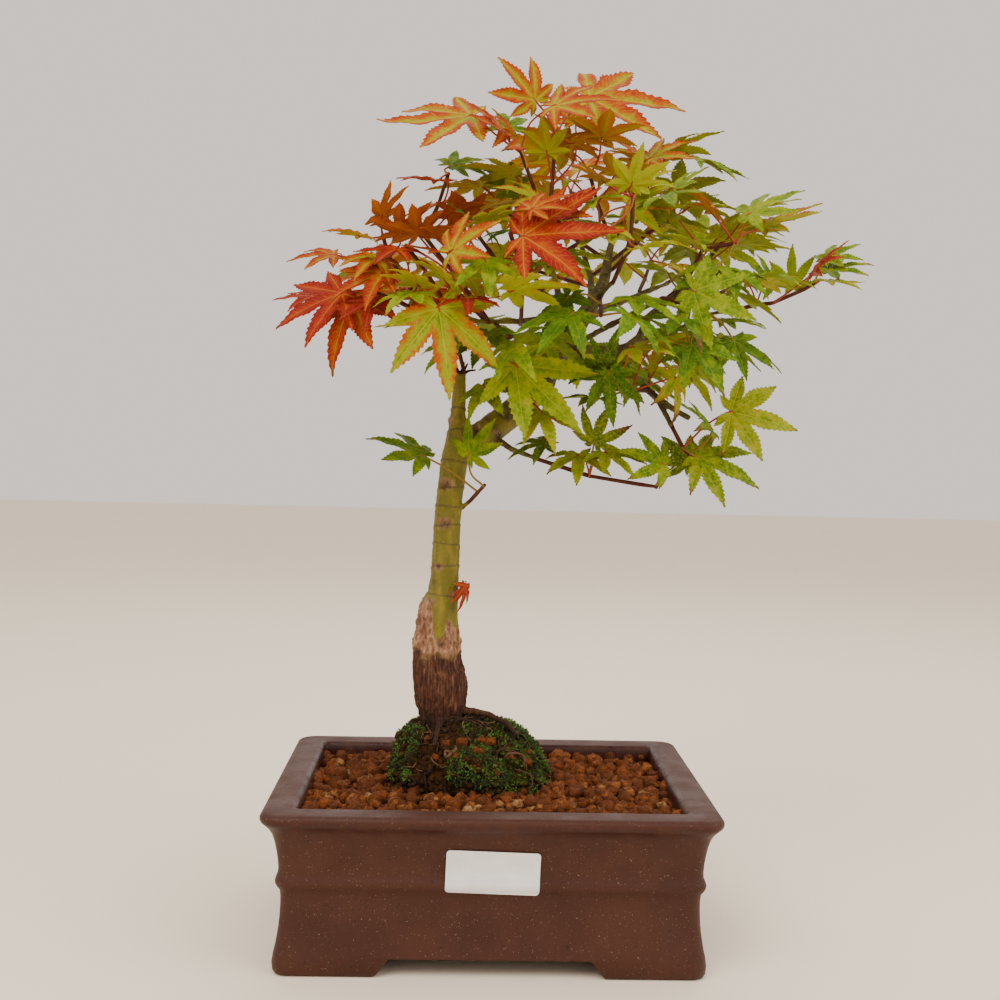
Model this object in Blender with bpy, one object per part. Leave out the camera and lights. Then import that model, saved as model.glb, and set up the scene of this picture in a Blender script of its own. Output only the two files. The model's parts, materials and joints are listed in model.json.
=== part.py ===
"""Japanese maple bonsai growing in a rectangular stoneware pot.

The pot stands on four corner feet, with its long sides along X. Sizes in the tables are
millimetres, measured from the middle of the pot's footprint on the ground. At the end the
whole model is moved so that the origin is at the bottom centre of its bounding box.
"""
import math

import bmesh
import bpy
from mathutils import Matrix, Vector
from mathutils.bvhtree import BVHTree

MM = 0.001
GAP = 0.35                    # clearance between touching pieces
WELD = 0.005                  # points closer than this after a cut are joined

# Pot ---------------------------------------------------------------------------------
RIM_WIDTH = 180.0
RIM_DEPTH = 137.6
POT_HEIGHT = 64.2
RIM_CORNER = 8.0
CORNER_POINTS = 4
# Outside of the pot from the ground up: distance in from the rim's edge, height.
OUTER_PROFILE = (
    (8.0, 0.0), (5.6, 1.2), (5.0, 4.5), (6.2, 11.0), (7.3, 18.0), (7.9, 27.0), (7.6, 33.0),
    (6.0, 35.6), (5.9, 37.4), (7.0, 41.5), (6.3, 48.0), (4.6, 55.0), (2.0, 58.5), (0.2, 60.6),
    (0.0, 62.0), (0.7, 63.6), (2.4, POT_HEIGHT),
)
# Inside of the pot from the rim down to the floor.
WALL_INSET = 14.6
FOOT_INSET = 15.6             # just above the rounded edge of the floor
FOOT_TOP = 18.0
FLOOR_INSET = 18.0
FLOOR_TOP = 14.0
INNER_PROFILE = (
    (12.0, POT_HEIGHT), (13.4, 63.2), (14.0, 60.5), (WALL_INSET, 40.0), (FOOT_INSET, FOOT_TOP),
    (FLOOR_INSET, FLOOR_TOP),
)
CORNER_SHRINK = 0.45          # how fast the corner radius falls with the inset
SMALLEST_CORNER = 2.5
RECESS_HEIGHT = 7.6           # hollow under the floor, inside the foot ring
RECESS_INSET = 19.0
SLOT_HEIGHT = 7.2             # openings between the feet
FRONT_SLOT = (45.0, 39.5)     # half widths at the ground and at the top
SIDE_SLOT = (33.0, 28.5)
DRAIN_X = 38.0
DRAIN_RADIUS = 8.0
DRAIN_SIDES = 20
DRAIN_OVERCUT = 3.0

# Sticker -----------------------------------------------------------------------------
STICKER_WIDTH = 36.5
STICKER_HEIGHT = 17.0
STICKER_CENTRE = (0.3, 41.7)
STICKER_TILT = math.radians(-1.5)
STICKER_CORNER = 1.5
STICKER_THICKNESS = 0.3
STICKER_GAP = 0.45
# Heights and widths at which the sticker bends over the bead of the pot, from its centre.
STICKER_ROWS = (
    -STICKER_HEIGHT / 2.0, STICKER_CORNER - STICKER_HEIGHT / 2.0, -6.4, -4.3, -0.2, 3.0,
    STICKER_HEIGHT / 2.0 - STICKER_CORNER, STICKER_HEIGHT / 2.0,
)
STICKER_COLUMNS = (-1.0, -0.5, 0.0, 0.5, 1.0)

# Drain mesh and the wire that holds it --------------------------------------------------
MESH_PITCH = 7.0
MESH_HOLE = 4.0
MESH_HOLES = 3
MESH_THICKNESS = 0.8
WIRE_RADIUS = 0.6
WIRE_REACH = 14.0
WIRE_BEND = 1.0

# Soil and root ball -------------------------------------------------------------------
SOIL_EDGE_HEIGHT = 58.0
SOIL_HEAP = 3.0
SOIL_RINGS = (1.0, 0.84, 0.66, 0.46, 0.24)
SOIL_CORNER_GROWTH = 6.0
BALL_SIDES = 24
BALL_LUMPS = ((0.05, 3.0, 0.7, 0.5), (0.03, 5.0, 2.0, 1.0))   # share, waves, phase, phase per level
# Root ball from the top down: height, middle x, middle y, half width, half depth.
BALL_LEVELS = (
    (88.0, -17.0, 0.0, 12.0, 10.0), (85.5, -14.0, 1.0, 19.0, 15.0), (79.5, -12.0, 2.0, 25.0, 20.0),
    (71.5, -10.0, 2.0, 29.5, 23.5), (64.0, -9.0, 2.0, 33.0, 25.5), (57.0, -9.0, 2.0, 34.5, 26.5),
    (45.0, -9.0, 2.0, 33.0, 25.0), (34.0, -9.0, 2.0, 25.0, 19.0),
)
# Moss patches on the root ball: name, first and last side, first and last level, thickness.
MOSS_PATCHES = (
    ("moss_right", 0, 4, 1, 4, 2.6), ("moss_front", 17, 20, 2, 4, 2.2),
    ("moss_left", 11, 15, 1, 4, 2.2), ("moss_back", 5, 10, 1, 4, 2.4),
)
MOSS_EDGE = 0.5
MOSS_GAP = 0.7

# Wood: centre line points with their radius: x, y, z, radius. ------------------------------
TRUNK = (
    (-20, 0, 75, 8.6), (-21, 0, 84, 8.8), (-21.3, 0, 90, 9.8), (-21.8, 0, 96, 11.2),
    (-22, 0, 101, 11.9), (-23, 0, 107, 11.5), (-23.8, 0, 113, 10.7), (-24, 0, 120, 9.9),
    (-24, 0, 127, 9.2), (-23.8, 0, 133, 8.7), (-23, 0, 138, 8.0), (-21.8, 0, 142, 6.8),
    (-21.4, 0, 149, 6.2), (-21, 0, 161, 6.1), (-20.7, 0, 173, 5.8), (-20, 0, 183, 5.75),
    (-19, 0, 192, 5.8), (-18.2, 0, 199, 6.0), (-17.4, -0.5, 206, 5.3), (-17.2, -1, 213, 4.0),
    (-17, -1.5, 221, 3.2), (-16.8, -2, 229, 2.9), (-16.5, -2, 236, 2.5),
)
MAIN_LIMB = (
    (-18, 0, 199, 3.5), (-12, 1, 205, 5.6), (-5, 3, 211, 6.2), (3, 6, 217.5, 6.2), (12, 8, 225, 6.0),
    (19, 10, 233, 5.6), (23, 11, 242, 5.0), (28, 11, 250, 4.8), (34, 12, 259, 4.2), (40, 13, 268, 3.5),
    (45, 14, 278, 2.6), (47, 14, 290, 1.8), (49, 12, 302, 1.2),
)
BRANCHES = (
    ((26, 11, 247, 2.0), (40, 12.5, 248.5, 2.5), (50, 14, 248, 2.3), (56, 14, 250, 2.1),
     (61, 13, 254, 2.0), (64, 10, 262, 1.9), (69, 6, 267, 1.7), (79, 0, 275, 1.4), (88, -5, 280, 1.2)),
    ((22, 10, 238, 2.0), (28, 1, 247, 1.7), (40, -12, 254, 1.4), (55, -24, 262, 1.2),
     (64, -30, 267, 1.0)),
    ((34, 12, 259, 2.0), (28, 4, 264, 1.9), (19, -3, 260, 1.6), (8, -9, 258, 1.4), (-5, -15, 257, 1.2),
     (-18, -19, 257, 1.1), (-30, -21, 259, 1.0)),
    ((59, 14, 252, 1.6), (70, 17, 255, 1.4), (82, 21, 260, 1.2), (94, 22, 266, 1.1), (104, 21, 268, 0.9)),
    ((50, 14, 248, 1.8), (57, 6, 238, 1.5), (64, -3, 230, 1.5), (73, -10, 223, 1.4), (80, -12, 219, 1.4)),
    ((66, -5, 228.5, 1.2), (70, -9, 221, 1.2), (73, -12, 214.5, 1.0)),
    ((23, 11, 242, 2.0), (15, 28, 251, 1.6), (2, 42, 258, 1.4), (-14, 50, 264, 1.2)),
    ((31, 12, 255, 2.2), (25, 3, 269, 1.7), (21, -4, 282, 1.3), (19, -6, 293, 1.1)),
    ((25, 4, 268, 1.6), (15, -8, 271, 1.3), (4, -18, 273, 1.1)),
    ((35, 12, 260, 2.2), (48, 36, 268, 1.6), (66, 52, 277, 1.3), (80, 58, 283, 1.1)),
    ((40, 13, 268, 2.0), (41, 33, 282, 1.6), (37, 46, 299, 1.2)),
    ((28, 10, 250, 1.9), (33, -12, 260, 1.5), (39, -28, 267, 1.2), (43, -36, 272, 1.0)),
    ((-6, 2, 212, 1.8), (6, -2, 204.5, 1.3), (16, -4, 201, 1.1)),
    ((8, 7, 222, 1.8), (10, -1, 225, 1.3), (9, -4, 226.5, 1.1)),
    ((-20, 0, 177, 1.5), (-13.5, -3, 180, 1.2), (-11.5, -4.5, 182, 0.9)),
)
# Roots that leave the foot of the trunk above the root ball.
ROOTS = (
    ((-18, -1, 90, 2.0), (-10, -4, 92.5, 1.7), (-2, -6, 91.5, 1.5), (6, -7, 88, 1.3), (10, -7, 83.5, 1.2),
     (7, -6, 77, 1.0)),
    ((-20, -2, 88, 1.8), (-22, -11, 88.5, 1.5), (-24, -19, 81, 1.2), (-22, -15, 73, 1.0)),
)
TRUNK_SIDES = 12
LIMB_SIDES = 10
BRANCH_SIDES = 6

# Leaf sprays ---------------------------------------------------------------------------
SHOOT_RADIUS = 0.75
NODE_HALF = 0.9               # half the length of the swollen node that bears the stalks
STALK_HALF = 0.54             # from a stalk's axis to its four edges
STALK_KNEE = 0.55             # where a stalk bends, along its curve
SHORTEST_STALK = 7.0
LEAVING_DOT = 0.4             # how squarely a stalk leaves the shoot, at least
MEETING_DOT = 0.25            # how squarely it meets the foot of the blade, at least
SLIM_MARGIN = 0.08            # extra size of the full-length stand-in for a stalk
BLADE_THICKNESS = 0.5
SHORTEST_BLADE = 18.0
FRONT = Vector((0.0, -1.0, 0.0))
UP = Vector((0.0, 0.0, 1.0))
CROWN_AXIS = Vector((28.0, 0.0, 0.0))
# Lobes of a blade: angle from the midrib and length against the middle lobe's.
LOBES = ((-86.0, 0.55), (-43.0, 0.86), (0.0, 1.0), (43.0, 0.86), (86.0, 0.55))
SHOULDER_AT = 0.55            # where a lobe is widest, along its length
SHOULDER_WIDTH = 0.125        # half width there, against the blade's length
SINUS_AT = 0.27
HUB_AT = 0.1

# Each spray: name, the points of its shoot, and its leaves. A leaf is the foot of its blade,
# the tip of its middle lobe, how far it faces the front (0 lies flat, 1 faces the front)
# and its autumn tone (0 dark green, 1 green, 2 yellow green, 3 orange, 4 red, 5 crimson).
SPRAYS = (
    ("leaves_top_right", ((19, -7, 295), (20, -9, 315), (21, -10, 335)), (
        ((12, -10, 349), (-2, -16, 366), 0.66, 3.1), ((36, 4, 354), (80, 10, 355), 0.5, 3.2),
        ((17, -18, 326), (14, -18, 339), 0.44, 2.0), ((24, -14, 332), (39, -16, 338), 0.28, 4.6),
        ((27, -2, 331), (40, 6, 335), 0.12, 2.6), ((31, 12, 346), (32, 24, 363), 0.28, 3.0))),
    ("leaves_top_left", ((17, -8, 291), (12, -16, 312), (6, -18, 327)), (
        ((19, -22, 344), (46, -28, 350), 0.44, 3.1), ((-14, -22, 339), (-52, -30, 334), 0.41, 3.2),
        ((-1, -26, 332), (-17, -32, 346), 0.33, 4.3), ((5, -28, 326), (-2, -34, 336), 0.33, 3.9),
        ((1, 4, 340), (-3, 16, 354), 0.22, 1.2), ((11, -4, 329), (-3, -6, 329), 0.22, 2.9))),
    ("leaves_upper_left_fan", ((10, -13, 273), (3, -22, 292), (6, -18, 307)), (
        ((4, -10, 318), (-20, -12, 318), 0.14, 2.0), ((7, 0, 316), (-18, 8, 320), 0.12, 1.0),
        ((14, -32, 303), (-6, -36, 304), 0.25, 2.0), ((13, 2, 314), (-1, 4, 316), 0.17, 0.8),
        ((6, -40, 291), (-7, -44, 289), 0.12, 0.7), ((-13, -30, 296), (-7, -36, 286), 0.39, 2.7))),
    ("leaves_upper_left", ((-6, -17, 258), (-20, -18, 276), (-32, -20, 291), (-27, -16, 304),
                           (-23, -12, 318)), (
        ((-22, -6, 322), (-8, 4, 329), 0.19, 1.1), ((-28, -16, 313), (-41, -22, 313), 0.17, 1.0),
        ((-14, -24, 299), (-26, -32, 301), 0.33, 4.5), ((-22, -30, 299), (-10, -26, 304), 0.17, 4.4),
        ((-27, -36, 288), (-17, -42, 294), 0.28, 4.0), ((-34, -34, 289), (-37, -38, 300), 0.44, 4.3),
        ((-26, -8, 306), (-43, -12, 312), 0.17, 3.4))),
    ("leaves_left_fan", ((-31, -21, 260), (-38, -24, 270), (-46, -26, 281), (-49, -26, 290)), (
        ((-49, -26, 296), (-45, -28, 309), 0.39, 1.8), ((-41, -30, 290), (-43, -34, 302), 0.44, 4.2),
        ((-58, -20, 289), (-68, -22, 292), 0.19, 2.7), ((-69, -20, 282), (-88, -22, 282), 0.33, 3.4),
        ((-50, -40, 279), (-57, -46, 273), 0.5, 3.0), ((-42, -44, 282), (-50, -48, 276), 0.28, 4.4),
        ((-58, -6, 279), (-71, -2, 274), 0.17, 1.5))),
    ("leaves_left_low", ((-31, -22, 258), (-42, -30, 263), (-52, -34, 266), (-61, -34, 265)), (
        ((-47, -48, 272), (-68, -54, 264), 0.22, 3.7), ((-45, -54, 279), (-45, -58, 257), 0.48, 4.9),
        ((-63, -36, 264), (-90, -38, 253), 0.48, 4.6), ((-75, -24, 265), (-91, -20, 265), 0.28, 4.4),
        ((-59, -50, 262), (-70, -56, 235), 0.64, 4.0), ((-33, -48, 255), (-58, -46, 249), 0.2, 0.5),
        ((-51, -46, 261), (-52, -48, 247), 0.48, 3.0))),
    ("leaves_left_front", ((-20, -20, 257), (-23, -40, 262), (-31, -42, 274), (-39, -44, 284)), (
        ((-25, -60, 258), (-18, -66, 224), 0.72, 2.4), ((-23, -52, 281), (-39, -56, 284), 0.19, 3.7),
        ((-23, -54, 269), (-31, -56, 279), 0.33, 2.2), ((-33, -52, 267), (-43, -54, 275), 0.33, 2.0),
        ((-35, -56, 264), (-46, -60, 255), 0.48, 1.8), ((-29, -30, 267), (-25, -32, 252), 0.4, 3.4),
        ((-14, -62, 262), (-13, -66, 248), 0.64, 5.0))),
    ("leaves_centre_left", ((3, -20, 273), (-6, -38, 283), (-15, -42, 294)), (
        ((-21, -58, 279), (1, -62, 279), 0.28, 2.8), ((-8, -62, 276), (-4, -66, 264), 0.28, 1.6),
        ((-8, -48, 292), (0, -52, 299), 0.28, 1.7), ((-14, -58, 272), (-22, -64, 264), 0.33, 1.9))),
    ("leaves_centre_front", ((8, -11, 258), (7, -46, 273), (5, -56, 281)), (
        ((6, -66, 285), (43, -74, 288), 0.39, 4.3), ((15, -58, 294), (33, -58, 308), 0.39, 3.7),
        ((2, -68, 265), (23, -76, 279), 0.28, 1.9), ((16, -62, 276), (29, -68, 274), 0.22, 2.0),
        ((9, -54, 295), (18, -54, 310), 0.39, 4.2))),
    ("leaves_centre_up", ((44, -36, 273), (49, -44, 288), (50, -42, 306)), (
        ((48, -46, 308), (51, -50, 322), 0.44, 1.9), ((38, -44, 311), (26, -48, 317), 0.33, 3.2),
        ((53, -34, 311), (67, -30, 321), 0.28, 1.7), ((52, -58, 283), (62, -62, 286), 0.28, 1.8),
        ((35, -52, 299), (35, -54, 308), 0.33, 1.4), ((38, -56, 289), (25, -62, 285), 0.28, 1.9),
        ((44, -60, 277), (34, -66, 268), 0.33, 1.5))),
    ("leaves_upper_right_back", ((49, 11, 301), (60, 4, 312), (63, 4, 322)), (
        ((62, 0, 329), (82, 2, 341), 0.33, 2.8), ((62, 10, 330), (48, 14, 338), 0.22, 2.6),
        ((81, 12, 332), (109, 16, 327), 0.22, 1.3), ((68, -12, 300), (62, -14, 309), 0.39, 1.6),
        ((54, 16, 327), (48, 24, 319), 0.22, 1.9))),
    ("leaves_upper_right", ((79, -1, 276), (82, -20, 288), (95, -22, 291)), (
        ((68, -22, 312), (84, -22, 319), 0.33, 1.6), ((83, -30, 302), (74, -32, 312), 0.39, 3.3),
        ((99, -26, 302), (120, -28, 315), 0.33, 1.7), ((109, -12, 299), (133, -8, 314), 0.14, 2.2),
        ((75, -34, 288), (65, -38, 293), 0.33, 1.7), ((96, -14, 296), (106, -12, 296), 0.12, 1.3),
        ((86, -30, 280), (78, -36, 273), 0.33, 1.3))),
    ("leaves_far_right", ((105, 21, 268), (113, 18, 270), (120, 16, 271), (133, 13, 277),
                          (138, 12, 280)), (
        ((108, 12, 278), (98, 10, 286), 0.33, 2.2), ((117, 20, 279), (126, 24, 280), 0.22, 1.9),
        ((123, 24, 282), (116, 32, 288), 0.28, 1.2), ((131, 22, 280), (133, 28, 293), 0.28, 1.0),
        ((132, 8, 282), (143, 4, 297), 0.17, 4.2), ((142, 12, 285), (163, 14, 291), 0.28, 1.3),
        ((140, 10, 280), (151, 8, 277), 0.12, 1.8), ((143, 24, 290), (153, 34, 297), 0.28, 1.1))),
    ("leaves_right_mid", ((65, -31, 267), (75, -36, 264), (81, -36, 262)), (
        ((73, -42, 268), (97, -48, 257), 0.48, 1.2), ((92, -38, 250), (96, -40, 235), 0.64, 0.8),
        ((90, -24, 259), (110, -18, 262), 0.16, 1.1), ((75, -40, 245), (84, -42, 240), 0.48, 4.2),
        ((73, -52, 247), (84, -58, 226), 0.56, 0.9), ((67, -52, 257), (60, -58, 251), 0.48, 0.8))),
    ("leaves_right_low", ((73.5, -13, 213.5), (77, -14, 207), (80, -14, 203)), (
        ((96, -18, 222), (124, -22, 216), 0.77, 1.7), ((87, -10, 215), (77, -6, 224), 0.36, 1.2),
        ((83, -18, 203), (109, -24, 195), 0.54, 1.3), ((82, -10, 200), (72, -6, 215), 0.45, 1.0),
        ((85, -24, 205), (83, -40, 212), 0.45, 1.1))),
    ("leaves_low_stem", ((17, -4, 200.5), (39, -6, 194), (60, -12, 191), (67, -14, 190)), (
        ((68, -16, 200), (49, -22, 207), 0.63, 1.4), ((33, -14, 203), (32, -22, 193), 0.63, 1.7),
        ((44, -18, 204), (56, -24, 197), 0.54, 1.5), ((80, -6, 201), (89, 8, 201), 0.45, 1.3),
        ((41, -8, 208), (44, -8, 223), 0.54, 1.2))),
    ("leaves_mid_star", ((63, -4, 230), (54, -22, 230), (45, -32, 230)), (
        ((42, -44, 236), (43, -50, 215), 0.72, 0.6), ((41, -40, 238), (44, -36, 250), 0.72, 0.6),
        ((70, -30, 235), (62, -34, 226), 0.63, 0.6), ((65, -38, 249), (71, -46, 247), 0.63, 0.9),
        ((49, -46, 245), (63, -50, 239), 0.45, 2.2), ((40, -30, 226), (31, -34, 225), 0.27, 1.3))),
    ("leaves_low_front", ((9, -4.5, 227), (6, -20, 233), (4, -30, 236)), (
        ((5, -46, 238), (31, -54, 213), 0.77, 1.8), ((-7, -30, 230), (1, -36, 220), 0.77, 1.4),
        ((16, -40, 220), (20, -46, 207), 0.72, 1.9), ((20, -12, 208), (6, -10, 213), 0.27, 0.7),
        ((11, -38, 241), (29, -36, 247), 0.27, 1.7))),
    ("leaves_trunk_shoot", ((-11, -5, 182.5), (-8, -6.5, 186), (-5, -8.5, 189.5)), (
        ((-12, -20, 202), (-2, -24, 217), 0.63, 1.2), ((-31, -14, 201), (-53, -16, 212), 0.32, 1.2))),
)
# Sprays of the inside and the back of the crown, whose leaves stand in opposite pairs.
PAIR_SPRAYS = (
    ("leaves_inner_back_right", ((81, 59, 284), (92, 63, 291), (103, 62, 298)), 26.0, 1.4),
    ("leaves_inner_far_back", ((66, 54, 278), (70, 66, 286), (74, 76, 296)), 27.0, 1.6),
    ("leaves_inner_back_top", ((37, 48, 301), (36, 56, 312), (33, 60, 325)), 28.0, 2.6),
    ("leaves_inner_back_crown", ((44, 35, 284), (60, 42, 298), (72, 42, 310)), 27.0, 2.0),
    ("leaves_inner_back_left", ((-16, 51, 265), (-30, 56, 272), (-42, 56, 279)), 28.0, 3.0),
    ("leaves_inner_back_low", ((16, 30, 251), (22, 48, 247), (26, 63, 246)), 26.0, 0.9),
    ("leaves_inner_crown", ((46, 16, 288), (30, 28, 300), (17, 32, 309)), 26.0, 2.4),
    ("leaves_inner_front", ((39, -29, 266), (38, -44, 262), (37, -56, 257)), 24.0, 0.8),
    ("leaves_inner_front_left", ((-2, -15, 256), (3, -26, 250), (-2, -38, 246)), 23.0, 1.1),
    ("leaves_inner_right", ((68, 7, 266), (78, 16, 276), (86, 20, 288)), 25.0, 1.2),
    ("leaves_inner_right_front", ((70, 4, 268), (84, -10, 268), (92, -18, 272)), 24.0, 1.0),
    ("leaves_inner_low_back", ((60, 16, 252), (67, 30, 247), (73, 44, 242)), 25.0, 0.7),
    ("leaves_inner_left", ((-15, -2, 238), (-18, 8, 248), (-24, 16, 258)), 25.0, 2.0),
    ("leaves_inner_left_back", ((-20, -16, 258), (-30, 0, 264), (-42, 10, 270)), 26.0, 3.2),
    ("leaves_inner_middle", ((20, -6, 284), (32, -22, 290), (38, -32, 296)), 22.0, 1.6),
    ("leaves_inner_top", ((46, 10, 297), (40, 2, 310), (36, -2, 322)), 25.0, 2.4),
    ("leaves_inner_top_right", ((49, 13, 298), (58, 20, 312), (64, 24, 324)), 25.0, 2.2),
    ("leaves_inner_crown_left", ((20, -5, 288), (10, 2, 298), (2, 8, 306)), 24.0, 2.2),
    ("leaves_inner_middle_right", ((46, 14, 284), (58, 2, 294), (66, -8, 300)), 24.0, 1.8),
    ("leaves_inner_right_top", ((80, 0, 275), (88, 10, 286), (96, 12, 296)), 24.0, 1.6),
    ("leaves_inner_centre", ((16, -8, 271), (12, -24, 276), (10, -34, 284)), 23.0, 2.0),
    ("leaves_inner_left_top", ((-8, -13, 259), (-14, -4, 266), (-22, 2, 274)), 24.0, 2.6),
    ("leaves_inner_back", ((41, 30, 279), (30, 44, 282), (18, 50, 286)), 25.0, 1.8),
    ("leaves_inner_low_right", ((72, 17, 256), (80, 6, 252), (86, -4, 250)), 23.0, 1.0),
    ("leaves_inner_low_middle", ((32, -4, 246), (39, -8, 240), (44, -14, 236)), 23.0, 0.8),
)
PAIR_STALK = 15.0
PAIR_FACING = 0.35
# Ways in which a leaf gives way to its neighbours, in steps: along Y, tip up or down, roll.
SHIFT_STEP = 2.5
SHIFT_STEPS = 5
TILT_STEP = math.radians(12.0)
TILT_STEPS = 3
ROLL_STEP = math.radians(20.0)
ROLL_STEPS = 2

# Colours: base colour, roughness, metallic.
FINISHES = {
    "stoneware": ((0.105, 0.050, 0.038), 0.55, 0.0),
    "sticker": ((0.86, 0.86, 0.84), 0.5, 0.0),
    "drain_plastic": ((0.02, 0.02, 0.02), 0.6, 0.0),
    "wire": ((0.55, 0.55, 0.56), 0.35, 1.0),
    "granules": ((0.33, 0.115, 0.035), 0.95, 0.0),
    "root_soil": ((0.055, 0.028, 0.016), 1.0, 0.0),
    "moss": ((0.09, 0.20, 0.025), 1.0, 0.0),
    "bark": ((0.25, 0.24, 0.05), 0.75, 0.0),
    "leaf_green": ((0.16, 0.32, 0.03), 0.5, 0.0),
    "leaf_yellow_green": ((0.42, 0.45, 0.04), 0.5, 0.0),
    "leaf_orange": ((0.62, 0.22, 0.05), 0.5, 0.0),
    "leaf_red": ((0.60, 0.09, 0.05), 0.5, 0.0),
}


def clear_scene():
    for obj in list(bpy.data.objects):
        bpy.data.objects.remove(obj, do_unlink=True)


def material(name):
    colour, roughness, metallic = FINISHES[name]
    made = bpy.data.materials.get(name) or bpy.data.materials.new(name)
    made.use_nodes = True
    shader = made.node_tree.nodes["Principled BSDF"]
    shader.inputs["Base Color"].default_value = (*colour, 1.0)
    shader.inputs["Roughness"].default_value = roughness
    shader.inputs["Metallic"].default_value = metallic
    return made


# Meshes -------------------------------------------------------------------------------

def halved(faces):
    """Split four-sided faces along their first diagonal, so that offset copies match."""
    split = []
    for face in faces:
        if len(face) == 4:
            a, b, c, d = face
            split += [(a, b, c), (a, c, d)]
        else:
            split.append(face)
    return split


def closed_mesh(name, points, faces, smooth=False):
    """Make a closed mesh, in metres, from points in millimetres."""
    mesh = bpy.data.meshes.new(name)
    mesh.from_pydata([Vector(point) * MM for point in points], [], faces)
    work = bmesh.new()
    work.from_mesh(mesh)
    bmesh.ops.recalc_face_normals(work, faces=work.faces)
    work.to_mesh(mesh)
    work.free()
    if smooth:
        mesh.shade_smooth()
        mesh.set_sharp_from_angle(angle=math.radians(40.0))
    return mesh


def add_object(name, mesh, finish):
    mesh.name = name
    mesh.materials.clear()
    mesh.materials.append(material(finish))
    obj = bpy.data.objects.new(name, mesh)
    bpy.context.scene.collection.objects.link(obj)
    return obj


def boolean(mesh, tool_mesh, operation):
    """Return the result of an exact Boolean between two closed meshes."""
    target = bpy.data.objects.new("target", mesh)
    tool = bpy.data.objects.new("tool", tool_mesh)
    for obj in (target, tool):
        bpy.context.scene.collection.objects.link(obj)
    modifier = target.modifiers.new("boolean", "BOOLEAN")
    modifier.operation = operation
    modifier.solver = "EXACT"
    modifier.object = tool
    bpy.context.view_layer.update()
    evaluated = target.evaluated_get(bpy.context.evaluated_depsgraph_get())
    result = bpy.data.meshes.new_from_object(evaluated)
    for obj in (target, tool):
        bpy.data.objects.remove(obj, do_unlink=True)
    work = bmesh.new()
    work.from_mesh(result)
    bmesh.ops.remove_doubles(work, verts=work.verts, dist=WELD * MM)
    work.to_mesh(result)
    work.free()
    return result


def bridge(faces, lower, upper):
    """Add the quads between two rings of point numbers of equal length."""
    count = len(lower)
    for i in range(count):
        after = (i + 1) % count
        faces.append((lower[i], lower[after], upper[after], upper[i]))


def loft(rings):
    """Points and faces of a closed solid through rings of points, with flat ends."""
    points = [point for ring in rings for point in ring]
    size = len(rings[0])
    numbers = [list(range(i * size, (i + 1) * size)) for i in range(len(rings))]
    faces = [tuple(reversed(numbers[0])), tuple(numbers[-1])]
    for lower, upper in zip(numbers, numbers[1:]):
        bridge(faces, lower, upper)
    return points, faces


def box_mesh(low, high):
    rings = [[(low[0], low[1], z), (high[0], low[1], z), (high[0], high[1], z), (low[0], high[1], z)]
             for z in (low[2], high[2])]
    return closed_mesh("box", *loft(rings))


def rounded_rectangle(half_x, half_y, radius, z):
    """Counter-clockwise loop of a rectangle with round corners."""
    loop = []
    for quarter, (sx, sy) in enumerate(((1, 1), (-1, 1), (-1, -1), (1, -1))):
        for step in range(CORNER_POINTS):
            angle = math.radians(90.0) * (quarter + step / (CORNER_POINTS - 1))
            loop.append(Vector((sx * (half_x - radius) + radius * math.cos(angle),
                                sy * (half_y - radius) + radius * math.sin(angle), z)))
    return loop


def frames_along(points):
    """Tangent and two cross directions at each point of a line, without needless twist."""
    points = [Vector(point) for point in points]
    tangents = []
    for i in range(len(points)):
        ahead = points[min(i + 1, len(points) - 1)]
        behind = points[max(i - 1, 0)]
        tangents.append((ahead - behind).normalized())
    start = UP if abs(tangents[0].z) < 0.9 else Vector((1.0, 0.0, 0.0))
    across = (start - tangents[0] * start.dot(tangents[0])).normalized()
    frames = []
    for tangent in tangents:
        across = (across - tangent * across.dot(tangent)).normalized()
        frames.append((tangent, across, tangent.cross(across)))
    return frames


def ring_around(centre, across, other, radius, sides):
    """A ring of points; the flats of a square ring face along its two cross directions."""
    ring = []
    for i in range(sides):
        angle = 2.0 * math.pi * (i + 0.5) / sides
        away = across * (radius * math.cos(angle)) + other * (radius * math.sin(angle))
        ring.append(Vector(centre) + away)
    return ring


def tube(line, sides, swell=0.0):
    """Closed tube mesh along a line of (x, y, z, radius), grown outwards by swell."""
    centres = [Vector(entry[:3]) for entry in line]
    frames = frames_along(centres)
    if swell:
        centres[0] = centres[0] - frames[0][0] * swell
        centres[-1] = centres[-1] + frames[-1][0] * swell
    rings = [ring_around(centre, frame[1], frame[2], entry[3] + swell, sides)
             for centre, frame, entry in zip(centres, frames, line)]
    return closed_mesh("tube", *loft(rings), smooth=True)


# Pot, sticker and drainage ---------------------------------------------------------------

def pot_half_size(inset):
    return RIM_WIDTH / 2.0 - inset, RIM_DEPTH / 2.0 - inset


def slot_cutter(half_widths, reach, along_x):
    """Prism with slanted ends that opens the foot ring on two opposite sides."""
    rings = []
    for end in (-reach, reach):
        low, high = half_widths
        slope = (low - high) / SLOT_HEIGHT
        outline = ((-low - slope, -1.0), (low + slope, -1.0), (high, SLOT_HEIGHT), (-high, SLOT_HEIGHT))
        rings.append([(end, u, z) if along_x else (u, end, z) for u, z in outline])
    return closed_mesh("slot", *loft(rings))


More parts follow.
